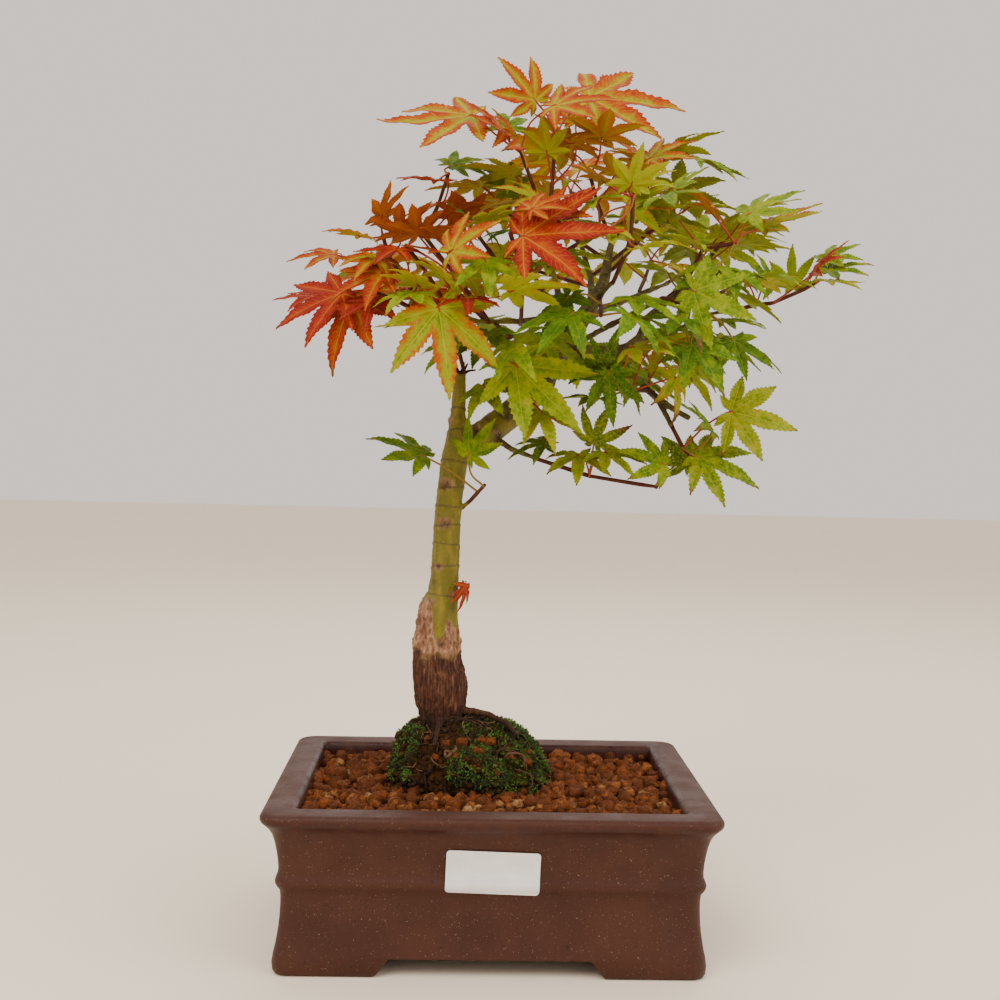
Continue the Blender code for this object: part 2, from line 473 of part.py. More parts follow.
def make_pot():
    rings = []
    for inset, z in OUTER_PROFILE + INNER_PROFILE:
        radius = max(RIM_CORNER - CORNER_SHRINK * inset, SMALLEST_CORNER)
        rings.append(rounded_rectangle(*pot_half_size(inset), radius, z))
    mesh = closed_mesh("pot", *loft(rings), smooth=True)
    half_x, half_y = pot_half_size(RECESS_INSET)
    recess = [rounded_rectangle(half_x, half_y, RIM_CORNER, z) for z in (-1.0, RECESS_HEIGHT)]
    mesh = boolean(mesh, closed_mesh("recess", *loft(recess)), "DIFFERENCE")
    mesh = boolean(mesh, slot_cutter(FRONT_SLOT, RIM_DEPTH, False), "DIFFERENCE")
    mesh = boolean(mesh, slot_cutter(SIDE_SLOT, RIM_WIDTH, True), "DIFFERENCE")
    for side in (-1, 1):
        bore = [(side * DRAIN_X, 0.0, z, DRAIN_RADIUS)
                for z in (RECESS_HEIGHT - DRAIN_OVERCUT, FLOOR_TOP + DRAIN_OVERCUT)]
        mesh = boolean(mesh, tube(bore, DRAIN_SIDES), "DIFFERENCE")
    return add_object("pot", mesh, "stoneware")


def outer_inset(z):
    """How far the pot's outside stands in from the rim's edge at a height."""
    for (inset, low), (next_inset, high) in zip(OUTER_PROFILE, OUTER_PROFILE[1:]):
        if low <= z <= high:
            return inset + (next_inset - inset) * (z - low) / (high - low)
    return OUTER_PROFILE[0][0]


def make_sticker():
    """A blank paper sticker that follows the front of the pot over its bead."""
    points = []
    for layer in (STICKER_GAP, STICKER_GAP + STICKER_THICKNESS):
        for v in STICKER_ROWS:
            at_end = v in (STICKER_ROWS[0], STICKER_ROWS[-1])
            reach = STICKER_WIDTH / 2.0 - (STICKER_CORNER if at_end else 0.0)
            for column in STICKER_COLUMNS:
                u = column * reach
                x = STICKER_CENTRE[0] + u * math.cos(STICKER_TILT) - v * math.sin(STICKER_TILT)
                z = STICKER_CENTRE[1] + u * math.sin(STICKER_TILT) + v * math.cos(STICKER_TILT)
                points.append((x, -(RIM_DEPTH / 2.0 - outer_inset(z)) - layer, z))
    faces = slab_faces(len(STICKER_ROWS), len(STICKER_COLUMNS))
    return add_object("pot_sticker", closed_mesh("pot_sticker", points, faces), "sticker")


def slab_faces(rows, columns):
    """Faces of a closed slab whose back grid comes first and whose front grid follows."""
    layer = rows * columns
    faces = []
    for row in range(rows - 1):
        for column in range(columns - 1):
            a = row * columns + column
            quad = (a, a + 1, a + columns + 1, a + columns)
            faces.append(quad)
            faces.append(tuple(number + layer for number in quad))
    edge = list(range(columns))
    edge += [row * columns + columns - 1 for row in range(1, rows)]
    edge += [(rows - 1) * columns + column for column in range(columns - 2, -1, -1)]
    edge += [row * columns for row in range(rows - 2, 0, -1)]
    for number, after in zip(edge, edge[1:] + edge[:1]):
        faces.append((number, after, after + layer, number + layer))
    return faces


def make_drain_mesh(name, x):
    """Square plastic mesh over a drain hole: a grid of bars around open cells."""
    bar = MESH_PITCH - MESH_HOLE
    lines = [-(MESH_HOLES * MESH_PITCH + bar) / 2.0]
    for _ in range(MESH_HOLES):
        lines += [lines[-1] + bar, lines[-1] + bar + MESH_HOLE]
    lines.append(lines[-1] + bar)
    count = len(lines)
    base = FLOOR_TOP + GAP
    points = [(x + u, v, z) for z in (base, base + MESH_THICKNESS) for v in lines for u in lines]
    solid = {(i, j) for i in range(count - 1) for j in range(count - 1) if i % 2 == 0 or j % 2 == 0}
    faces = []
    for i, j in sorted(solid):
        corners = [(i, j), (i + 1, j), (i + 1, j + 1), (i, j + 1)]
        low = [b * count + a for a, b in corners]
        faces.append(tuple(reversed(low)))
        faces.append(tuple(number + count * count for number in low))
        for side, (di, dj) in enumerate(((0, -1), (1, 0), (0, 1), (-1, 0))):
            if (i + di, j + dj) not in solid:
                a, b = low[side], low[(side + 1) % 4]
                faces.append((a, b, b + count * count, a + count * count))
    return add_object(name, closed_mesh(name, points, faces), "drain_plastic")


def make_drain_wire(name, x):
    """Bent wire that lies over the mesh and is splayed under the pot's floor."""
    over = FLOOR_TOP + 2.0 * GAP + MESH_THICKNESS + WIRE_RADIUS
    under = RECESS_HEIGHT - GAP - WIRE_RADIUS
    leg = MESH_PITCH
    side = ((WIRE_REACH, under), (leg + WIRE_BEND, under), (leg, under + WIRE_BEND),
            (leg, over - WIRE_BEND), (leg - WIRE_BEND, over))
    path = [(-u, z) for u, z in side] + list(reversed(side))
    line = [(x + u, 0.0, z, WIRE_RADIUS) for u, z in path]
    mesh = tube(line, BRANCH_SIDES)
    return add_object(name, mesh, "wire")


# Soil, root ball and moss ------------------------------------------------------------------

def ball_point(side, level, swell=0.0):
    """Point of the root ball at a side number and a level number, moved outwards by swell."""
    z, x, y, half_x, half_y = BALL_LEVELS[level]
    angle = 2.0 * math.pi * side / BALL_SIDES
    lump = 1.0
    if level > 0:
        for share, waves, phase, drift in BALL_LUMPS:
            lump += share * math.sin(waves * angle + phase + drift * level)
    return Vector((x + (half_x * lump + swell) * math.cos(angle),
                   y + (half_y * lump + swell) * math.sin(angle), z))


def ball_normal(side, level):
    """Outward direction of the root ball's surface at one of its grid points."""
    last = len(BALL_LEVELS) - 1
    around = ball_point(side + 1, level) - ball_point(side - 1, level)
    upwards = ball_point(side, max(level - 1, 0)) - ball_point(side, min(level + 1, last))
    return around.cross(upwards).normalized()


def ball_mesh(swell=0.0):
    last = len(BALL_LEVELS) - 1
    rings = [[ball_point(side, level, swell) for side in range(BALL_SIDES)]
             for level in range(last, -1, -1)]
    for ring, lift in ((rings[0], -swell), (rings[-1], swell)):
        for point in ring:
            point.z += lift
    points, faces = loft(rings)
    return closed_mesh("ball", points, halved(faces), smooth=True)


def make_root_ball():
    mesh = ball_mesh()
    for line, sides in ((TRUNK, TRUNK_SIDES), (ROOTS[0], BRANCH_SIDES), (ROOTS[1], BRANCH_SIDES)):
        mesh = boolean(mesh, tube(line, sides, swell=GAP), "DIFFERENCE")
    return add_object("root_ball", mesh, "root_soil")


def soil_height(x, y, share):
    """Top of the granules: heaped towards the middle, with shallow lumps."""
    lumps = 0.7 * math.sin(0.13 * x + 0.6) * math.cos(0.17 * y) + 0.4 * math.sin(0.31 * x - 0.23 * y)
    return SOIL_EDGE_HEIGHT + SOIL_HEAP * (1.0 - share * share) + lumps * (1.0 - share)


def make_soil():
    rings = [rounded_rectangle(*pot_half_size(inset + GAP), SMALLEST_CORNER, z + GAP)
             for inset, z in ((FLOOR_INSET, FLOOR_TOP), (FOOT_INSET, FOOT_TOP))]
    top_x, top_y = pot_half_size(WALL_INSET + GAP)
    for share in SOIL_RINGS:
        corner = SMALLEST_CORNER + SOIL_CORNER_GROWTH * (1.0 - share)
        ring = rounded_rectangle(top_x * share, top_y * share, corner, 0.0)
        for point in ring:
            point.z = soil_height(point.x, point.y, share)
        rings.append(ring)
    mesh = closed_mesh("soil", *loft(rings))
    mesh = boolean(mesh, ball_mesh(GAP), "DIFFERENCE")
    pocket = (MESH_HOLES * MESH_PITCH + MESH_PITCH - MESH_HOLE) / 2.0 + GAP
    pocket_top = FLOOR_TOP + 3.0 * GAP + MESH_THICKNESS + 2.0 * WIRE_RADIUS
    for side in (-1, 1):
        x = side * DRAIN_X
        cutter = box_mesh((x - pocket, -pocket, FLOOR_TOP), (x + pocket, pocket, pocket_top))
        mesh = boolean(mesh, cutter, "DIFFERENCE")
    return add_object("soil", mesh, "granules")


def make_moss():
    """Closed cushions that lie on the root ball, each a block of its surface grid."""
    made = []
    for name, first_side, last_side, first_level, last_level, thickness in MOSS_PATCHES:
        sides = range(first_side, last_side + 1)
        levels = range(last_level, first_level - 1, -1)
        points = []
        for top in (False, True):
            for level in levels:
                for side in sides:
                    on_edge = side in (first_side, last_side) or level in (first_level, last_level)
                    height = MOSS_GAP + (MOSS_EDGE if on_edge else thickness) * top
                    points.append(ball_point(side, level) + ball_normal(side, level) * height)
        mesh = closed_mesh(name, points, halved(slab_faces(len(levels), len(sides))), smooth=True)
        made.append(add_object(name, mesh, "moss"))
    return made


# Wood -----------------------------------------------------------------------------------

def make_wood():
    mesh = tube(TRUNK, TRUNK_SIDES)
    mesh = boolean(mesh, tube(MAIN_LIMB, LIMB_SIDES), "UNION")
    for line in BRANCHES + ROOTS:
        mesh = boolean(mesh, tube(line, BRANCH_SIDES), "UNION")
    return add_object("trunk_and_branches", mesh, "bark")


# Leaves ---------------------------------------------------------------------------------

def tree_of(points, faces):
    """Search tree of a surface, with its bounding box."""
    low = [min(point[i] for point in points) for i in range(3)]
    high = [max(point[i] for point in points) for i in range(3)]
    return BVHTree.FromPolygons([tuple(point) for point in points], faces), low, high


def touches(first, second):
    for i in range(3):
        if first[1][i] > second[2][i] or second[1][i] > first[2][i]:
            return False
    return bool(first[0].overlap(second[0]))


def blade_outline():
    """Outline of a blade of length 1 from its right foot round the lobes to its left foot."""
    outline = []
    sinus = []
    for (angle, _), (next_angle, _) in zip(LOBES, LOBES[1:]):
        middle = math.radians((angle + next_angle) / 2.0)
        sinus.append((math.sin(middle) * SINUS_AT, math.cos(middle) * SINUS_AT))
    for number, (angle, length) in enumerate(LOBES):
        turn = math.radians(angle)
        along = Vector((math.sin(turn), math.cos(turn)))
        aside = Vector((math.cos(turn), -math.sin(turn)))
        tip = along * length
        if number in (0, len(LOBES) - 1):
            outline.append(tuple(tip))
        else:
            shoulder = along * (length * SHOULDER_AT)
            outline.append(tuple(shoulder - aside * SHOULDER_WIDTH))
            outline.append(tuple(tip))
            outline.append(tuple(shoulder + aside * SHOULDER_WIDTH))
        if number < len(sinus):
            outline.append(sinus[number])
    return outline


def blade_shell(leaf, thickness):
    """Points and faces of a blade, and the four points of its foot where the stalk joins."""
    base, midrib, normal, length = leaf["base"], leaf["midrib"], leaf["normal"], leaf["length"]
    side = midrib.cross(normal)
    flat = [(-STALK_HALF / length, 0.0)]
    flat += blade_outline()
    flat += [(STALK_HALF / length, 0.0), (0.0, HUB_AT)]
    points = []
    for half in (0.5, -0.5):
        for x, y in flat:
            sag = -leaf["droop"] * (x * x + y * y) * length
            lift = sag + half * thickness
            points.append(base + side * (x * length) + midrib * (y * length) + normal * lift)
    size = len(flat)
    hub = size - 1
    faces = []
    for i in range(hub - 1):
        faces.append((hub, i + 1, i))
        faces.append((hub + size, i + size, i + 1 + size))
        faces.append((i, i + 1, i + 1 + size, i + size))
    faces.append((hub, 0, hub - 1))
    faces.append((hub + size, hub - 1 + size, size))
    foot = (0, hub - 1, hub - 1 + size, size)
    return points, faces, foot


def stalk_point(leaf, share):
    """Point of the leaf stalk, a cubic curve from the shoot to the foot of the blade."""
    a, b, c, d = leaf["stalk"]
    rest = 1.0 - share
    return (a * rest ** 3 + b * (3.0 * rest * rest * share) + c * (3.0 * rest * share * share)
            + d * share ** 3)


def stalk_shell(leaf, margin, first_share, last_share):
    """Stand-in for a stalk, thicker by a margin, for the search for room."""
    start, knee, foot = stalk_point(leaf, 0.0), stalk_point(leaf, STALK_KNEE), leaf["base"]
    line = (start.lerp(knee, first_share), knee, knee.lerp(foot, last_share))
    rings = [ring_around(centre, frame[1], frame[2], STALK_HALF + margin, 4)
             for centre, frame in zip(line, frames_along(line))]
    return loft(rings)


def make_leaf(base, tip, facing, outward, tone, number):
    """The lie of a leaf's blade. Short ones reach out towards or away from the front."""
    base, tip = Vector(base), Vector(tip)
    along = tip - base
    if along.length < SHORTEST_BLADE:
        reach = math.sqrt(SHORTEST_BLADE ** 2 - along.length_squared)
        along += outward * (reach * 0.9)
    midrib = along.normalized()
    wanted = UP * (1.0 - facing) + outward * facing
    normal = wanted - midrib * wanted.dot(midrib)
    if normal.length < 0.2:
        normal = UP - midrib * midrib.z
    return {"base": base, "midrib": midrib, "normal": normal.normalized(), "tone": tone,
            "length": max(along.length, SHORTEST_BLADE), "droop": 0.10 + 0.03 * (number % 5)}


def ways_to_give():
    """Shifts along Y, tilts and rolls of a blade, the smallest change first."""
    ways = []
    for shift in range(-SHIFT_STEPS, SHIFT_STEPS + 1):
        for tilt in range(-TILT_STEPS, TILT_STEPS + 1):
            for roll in range(-ROLL_STEPS, ROLL_STEPS + 1):
                cost = abs(shift) + 1.2 * abs(tilt) + 1.1 * abs(roll)
                ways.append((cost, shift * SHIFT_STEP, tilt * TILT_STEP, roll * ROLL_STEP))
    return sorted(ways)


def turned_leaf(leaf, shift, tilt, roll):
    """A copy of a leaf moved along Y, with its blade tilted and rolled about its foot."""
    side = leaf["midrib"].cross(leaf["normal"])
    turn = Matrix.Rotation(tilt, 3, side) @ Matrix.Rotation(roll, 3, leaf["midrib"])
    moved = dict(leaf)
    moved["base"] = leaf["base"] + Vector((0.0, shift, 0.0))
    moved["midrib"] = turn @ leaf["midrib"]
    moved["normal"] = turn @ leaf["normal"]
    return moved


def shoot_rings(points):
    """Rings of a shoot: a swollen node at each point after the first."""
    frames = frames_along(points)
    rings = [ring_around(points[0], frames[0][1], frames[0][2], SHOOT_RADIUS, 4)]
    for number in range(1, len(points)):
        tangent, across, other = frames[number]
        back = 2.0 * NODE_HALF if number == len(points) - 1 else NODE_HALF
        for offset in (-back, 2.0 * NODE_HALF - back):
            rings.append(ring_around(points[number] + tangent * offset, across, other, SHOOT_RADIUS, 4))
    return rings


def shoot_sockets(rings):
    """Where stalks can join: each side of each node, and the end of the shoot."""
    sockets = []
    for low in range(1, len(rings), 2):
        for side in range(4):
            after = (side + 1) % 4
            corners = (low * 4 + side, low * 4 + after, (low + 1) * 4 + after, (low + 1) * 4 + side)
            here = (rings[low][side], rings[low][after], rings[low + 1][side], rings[low + 1][after])
            middle = sum(here, Vector()) / 4.0
            axis = (sum(rings[low], Vector()) + sum(rings[low + 1], Vector())) / 8.0
            sockets.append((corners, middle, (middle - axis).normalized()))
    last = len(rings) - 1
    centre = sum(rings[last], Vector()) / 4.0
    before = sum(rings[last - 1], Vector()) / 4.0
    sockets.append((tuple(last * 4 + side for side in range(4)), centre, (centre - before).normalized()))
    return sockets


def join_stalk(leaf, socket):
    """Lead the leaf's stalk out of a socket and into the foot of the blade."""
    _, start, outwards = socket
    reach = (leaf["base"] - start).length
    heading = (leaf["base"] - start).normalized()
    arriving = (leaf["midrib"] * 0.9 + heading * 0.4).normalized()
    leaf["stalk"] = (start, start + outwards * max(0.3 * reach, 4.0),
                     leaf["base"] - arriving * (0.35 * reach), leaf["base"])


def stalk_is_square(leaf, socket):
    """Whether the stalk leaves the shoot outwards and meets the foot of the blade end on."""
    knee = stalk_point(leaf, STALK_KNEE)
    leaving = (knee - socket[1]).normalized().dot(socket[2])
    meeting = (leaf["base"] - knee).normalized().dot(leaf["midrib"])
    return leaving > LEAVING_DOT and meeting > MEETING_DOT


def socket_cost(leaf, socket):
    span = leaf["base"] - socket[1]
    return span.length * (1.6 - span.normalized().dot(socket[2]))


def seat_leaf(leaf, sockets, woody, leafy):
    """Find the nearest lie of a leaf in which nothing touches it; None if there is no room."""
    for _, shift, tilt, roll in ways_to_give():
        moved = turned_leaf(leaf, shift, tilt, roll)
        points, faces, _ = blade_shell(moved, BLADE_THICKNESS + 2.0 * GAP)
        blade = tree_of(points, faces)
        if any(touches(blade, other) for other in woody + leafy):
            continue
        for socket in sorted(sockets, key=lambda entry: socket_cost(moved, entry))[:3]:
            if (moved["base"] - socket[1]).length < SHORTEST_STALK:
                continue
            join_stalk(moved, socket)
            if not stalk_is_square(moved, socket):
                continue
            stalk = tree_of(*stalk_shell(moved, GAP, 0.3, 0.88))
            slim = tree_of(*stalk_shell(moved, SLIM_MARGIN, 0.12, 0.96))
            true_blade = tree_of(*blade_shell(moved, BLADE_THICKNESS)[:2])
            if touches(stalk, blade) or touches(slim, true_blade):
                continue
            if any(touches(stalk, other) for other in woody + leafy):
                continue
            if any(touches(slim, other) for other in leafy):
                continue
            return moved, socket, [blade, stalk, slim]
    return None


def paired_leaves(points, length, tone):
    """Leaves in opposite pairs at the nodes of a shoot: foot, tip, facing, tone."""
    leaves = []
    for number in range(1, len(points)):
        tangent = (points[number] - points[number - 1]).normalized()
        level = tangent.cross(UP).normalized()
        for side in (-1.0, 1.0):
            stalk = (level * (side * 0.85) + tangent * (0.25 + 0.3 * number) + UP * 0.3).normalized()
            base = points[number] + stalk * PAIR_STALK
            blade = (level * (side * 0.6) + tangent * (0.2 + 0.35 * number) - UP * 0.35).normalized()
            leaves.append((base, base + blade * length, PAIR_FACING, tone + 0.25 * side))
    return leaves


def radial(point):
    """Level direction from the crown's axis to a point."""
    away = Vector(point) - CROWN_AXIS
    away.z = 0.0
    return away.normalized()


def crown_plan():
    """Every spray: its name, the points of its shoot and its leaves as first wanted."""
    plan = []
    for name, shoot, table in SPRAYS:
        leaves = [make_leaf(base, tip, facing, FRONT, tone, number)
                  for number, (base, tip, facing, tone) in enumerate(table)]
        plan.append((name, [Vector(point) for point in shoot], leaves))
    for name, shoot, length, tone in PAIR_SPRAYS:
        points = [Vector(point) for point in shoot]
        pairs = paired_leaves(points, length, tone)
        leaves = [make_leaf(base, tip, facing, radial(base), leaf_tone, number)
                  for number, (base, tip, facing, leaf_tone) in enumerate(pairs)]
        plan.append((name, points, leaves))
    return plan


def rest_on_wood(points, wood_tree):
    """Start a shoot at the nearest bark, with the clearance between them."""
    place, normal, _, _ = wood_tree.find_nearest(points[0])
    points[0] = place + normal * (SHOOT_RADIUS + GAP)


def grow_crown(wood_tree):
    """Seat all shoots, then all leaves. Gives each spray's rings and its seated leaves."""
    woody = [wood_tree]
    leafy = []
    sprays = []
    for name, points, leaves in crown_plan():
        rest_on_wood(points, wood_tree[0])
        rings = shoot_rings(points)
        sprays.append((name, rings, leaves, []))
        woody.append(tree_of(*loft(rings)))
    for name, rings, leaves, seated in sprays:
        sockets = shoot_sockets(rings)
        for leaf in leaves:
            found = seat_leaf(leaf, sockets, woody, leafy)
            if found:
                moved, socket, trees = found
                sockets.remove(socket)
                leafy += trees
                seated.append((moved, socket))
    return sprays


def winding(ring, points, heading):
    """Positive if a ring of point numbers runs counter-clockwise seen against the heading."""
    a, b, c = (points[number] for number in ring[:3])
    return (b - a).cross(c - b).dot(heading)


def nearest_turn(ring, target, points, heading):
    """The order of four target points that runs the same way as a ring and lies nearest."""
    order = list(target)
    if winding(ring, points, heading) * winding(order, points, heading) < 0.0:
        order.reverse()
    orders = []
    for shift in range(4):
        turned = order[shift:] + order[:shift]
        spread = sum((points[a] - points[b]).length for a, b in zip(ring, turned))
        orders.append((spread, turned))
    return min(orders)[1]


def spray_mesh(name, rings, seated):
    """One closed mesh of a shoot with its stalks and blades."""
    points = [point for ring in rings for point in ring]
    ring_numbers = [list(range(i * 4, i * 4 + 4)) for i in range(len(rings))]
    faces = []
    taken = {tuple(sorted(socket[0])) for _, socket in seated}
    candidates = [tuple(ring_numbers[0]), tuple(ring_numbers[-1])]
    for lower, upper in zip(ring_numbers, ring_numbers[1:]):
        bridge(candidates, lower, upper)
    faces += [face for face in candidates if tuple(sorted(face)) not in taken]
    for leaf, socket in seated:
        corners = list(socket[0])
        middle = sum((points[number] for number in corners), Vector()) / 4.0
        knee = stalk_point(leaf, STALK_KNEE)
        leaving = (knee - middle).normalized()
        meeting = (leaf["base"] - knee).normalized()
        heading = (leaving + meeting).normalized()
        ring = list(range(len(points), len(points) + 4))
        turn = socket[2].rotation_difference(heading)
        for number in corners:
            points.append(knee + turn @ (points[number] - middle).normalized() * STALK_HALF)
        bridge(faces, corners, ring)
        blade_points, blade_faces, foot = blade_shell(leaf, BLADE_THICKNESS)
        shift = len(points)
        points += blade_points
        faces += [tuple(number + shift for number in face) for face in blade_faces]
        bridge(faces, ring, nearest_turn(ring, [number + shift for number in foot], points, meeting))
    return closed_mesh(name, points, faces)


def leaf_finish(seated):
    tone = sum(leaf["tone"] for leaf, _ in seated) / len(seated)
    for limit, finish in ((1.5, "leaf_green"), (2.4, "leaf_yellow_green"), (3.5, "leaf_orange")):
        if tone < limit:
            return finish
    return "leaf_red"


def make_crown(wood):
    points = [vertex.co / MM for vertex in wood.data.vertices]
    wood_tree = tree_of(points, [tuple(face.vertices) for face in wood.data.polygons])
    for name, rings, _, seated in grow_crown(wood_tree):
        add_object(name, spray_mesh(name, rings, seated), leaf_finish(seated))


def centre_on_box():
    """Bring the middle of the whole model's bounding box over the origin."""
    corners = [vertex.co for obj in bpy.data.objects for vertex in obj.data.vertices]
    middle_x = (min(c.x for c in corners) + max(c.x for c in corners)) / 2.0
    middle_y = (min(c.y for c in corners) + max(c.y for c in corners)) / 2.0
    for obj in bpy.data.objects:
        obj.location = (-middle_x, -middle_y, 0.0)


def main():
    clear_scene()
    make_pot()
    make_sticker()
    for number, side in enumerate((-1, 1), start=1):
        make_drain_mesh(f"drain_mesh_{number}", side * DRAIN_X)
        make_drain_wire(f"drain_wire_{number}", side * DRAIN_X)
    make_soil()
    make_root_ball()
    make_moss()
    make_crown(make_wood())
    centre_on_box()


main()
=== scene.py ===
"""Fine surfaces and finishes of a Japanese maple bonsai in a stoneware pot.

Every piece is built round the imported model, in its frame. The places in the tables are in
millimetres from the middle of the pot's footprint, and place() moves them into the frame.
"""
import json
import math

import bmesh
import bpy
import numpy as np
from bpy.props import FloatProperty, FloatVectorProperty, IntProperty, PointerProperty
from mathutils import Matrix, Vector, noise
from mathutils.bvhtree import BVHTree


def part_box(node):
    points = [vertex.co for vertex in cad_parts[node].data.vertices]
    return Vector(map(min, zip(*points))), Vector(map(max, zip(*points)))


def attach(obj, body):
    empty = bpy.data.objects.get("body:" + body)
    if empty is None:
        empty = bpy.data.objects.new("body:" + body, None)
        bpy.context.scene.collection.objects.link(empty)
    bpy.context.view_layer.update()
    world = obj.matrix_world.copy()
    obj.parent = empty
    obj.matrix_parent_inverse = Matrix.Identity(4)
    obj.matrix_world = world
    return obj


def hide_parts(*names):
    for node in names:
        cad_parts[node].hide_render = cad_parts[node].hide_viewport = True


bl_info = {
    "name": "Potted maple bonsai",
    "version": (1, 0, 0),
    "blender": (4, 5, 0),
    "location": "3D View > Sidebar > Bonsai",
    "description": "Builds the fine surfaces and finishes of a maple bonsai in its pot",
    "category": "Object",
}

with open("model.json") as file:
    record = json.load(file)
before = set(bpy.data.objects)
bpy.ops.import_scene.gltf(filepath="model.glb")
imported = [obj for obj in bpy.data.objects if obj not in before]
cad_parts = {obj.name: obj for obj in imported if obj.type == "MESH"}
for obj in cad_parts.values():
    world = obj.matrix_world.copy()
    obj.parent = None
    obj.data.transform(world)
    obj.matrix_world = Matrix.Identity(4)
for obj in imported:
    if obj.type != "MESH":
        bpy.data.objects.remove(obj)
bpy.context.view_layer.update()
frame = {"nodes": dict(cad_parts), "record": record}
NODES = frame["nodes"]
SLOT_OF = {part["node"]: part["material_slot"] for part in frame["record"]["subparts"]}
BODY = "root"
MM = 0.001
UP = Vector((0.0, 0.0, 1.0))
GOLDEN_TURN = 2.399           # radians; spreads numbered things evenly round a circle

pot_low, pot_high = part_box("pot")
POT_CENTRE = Vector(((pot_low.x + pot_high.x) / 2.0, (pot_low.y + pot_high.y) / 2.0, 0.0))


def place(x, y, z):
    """A point of the frame from millimetres measured from the middle of the pot's footprint."""
    return POT_CENTRE + Vector((x, y, z)) * MM


# Places ----------------------------------------------------------------------------------

# Outside of the pot from the ground up, in mm: distance in from the rim's edge, height.
OUTER_PROFILE = (
    (8.0, 0.0), (5.9, 0.5), (5.3, 1.6), (5.0, 4.5), (5.5, 8.0), (6.2, 11.0), (6.8, 14.5),
    (7.3, 18.0), (7.7, 22.5), (7.9, 27.0), (7.9, 30.0), (7.6, 32.6), (6.6, 34.0), (6.0, 35.2),
    (5.8, 36.4), (6.2, 37.8), (6.9, 39.4), (7.0, 41.5), (6.8, 44.5), (6.3, 48.0), (5.6, 51.6),
    (4.6, 55.0), (3.3, 57.2), (1.8, 58.9), (0.6, 60.1), (0.1, 61.2), (0.1, 62.4), (0.6, 63.3),
    (1.4, 63.9), (2.6, 64.2),
)
# Inside of the pot from the rim down to the floor.
INNER_PROFILE = (
    (7.0, 64.25), (11.2, 64.2), (12.4, 63.9), (13.2, 63.2), (13.7, 62.0), (14.0, 60.5),
    (14.3, 52.0), (14.6, 40.0), (15.1, 26.0), (15.6, 18.0), (16.4, 15.4), (18.0, 14.0),
)
FOOT_SLOTS = ((45.0, 39.5, False), (33.0, 28.5, True))   # half widths low and high, along X
SLOT_HEIGHT = 7.2
RECESS_INSET = 19.0
RECESS_HEIGHT = 7.6
DRAIN_X = 38.0
DRAIN_RADIUS = 8.0

# Trunk: heights of the ring scars, and pits as x, y, z, radius, depth (negative stands out).
RING_SCARS = (140.9, 153.6, 163.0, 171.0, 179.1, 186.7, 198.6, 211.0, 221.0)
BARK_PITS = (
    (-21.6, -5.6, 189.2, 1.9, 1.2), (-22.1, -5.8, 172.7, 1.9, 1.2), (-24.6, -5.2, 153.9, 1.5, 0.8),
    (-17.2, -5.3, 142.1, 1.6, -1.1), (-21.0, -2.4, 216.2, 1.5, -0.9), (-10.4, -3.0, 211.8, 2.9, 2.0),
    (-29.5, -6.5, 138.5, 2.4, -0.7), (-31.5, -4.0, 121.0, 3.4, -0.8), (-22.0, -9.0, 121.5, 2.2, 0.8),
    (-17.0, -6.0, 122.0, 3.0, -0.9), (24.0, 5.0, 246.0, 2.0, 0.7), (-0.4, -3.2, 211.6, 1.2, -0.5),
    (-19.0, 5.4, 166.0, 1.3, 0.9), (-21.0, 5.6, 181.0, 1.2, 0.8),
)
SCAR_FOOT = 115.0             # corky scar tissue between the brown foot and the green bark
SCAR_TOPS = (139.5, 124.0, 129.0)   # on the left, in the middle and on the right

# Sticker: width and height, middle on the front of the pot, tilt, and radius of the corners.
STICKER_SIZE = (36.5, 17.0)
STICKER_PLACE = (0.3, 41.7)
STICKER_TILT = math.radians(-1.5)
STICKER_CORNER = 1.5

# Stones set in the root ball: x, y, z, width.
BALL_STONES = (
    (-6.7, -22.5, 79.3, 5.6), (-24.0, -21.0, 77.0, 3.8), (4.0, -21.5, 70.0, 4.2), (16.0, -14.0, 74.0, 3.8),
    (-33.0, -12.0, 74.0, 3.4), (10.0, -19.0, 79.0, 3.2), (-16.0, -23.5, 70.0, 3.6), (12.0, 4.0, 84.0, 3.4),
    (-12.0, -19.0, 83.0, 4.4), (-2.0, -18.0, 84.0, 3.6), (-9.0, -21.0, 75.0, 3.4), (-20.0, -20.0, 82.0, 3.2),
    (-27.0, -16.0, 83.0, 3.0), (4.0, -16.0, 83.5, 4.0), (-14.0, -23.0, 77.0, 2.8), (18.0, -8.0, 79.0, 3.2),
)

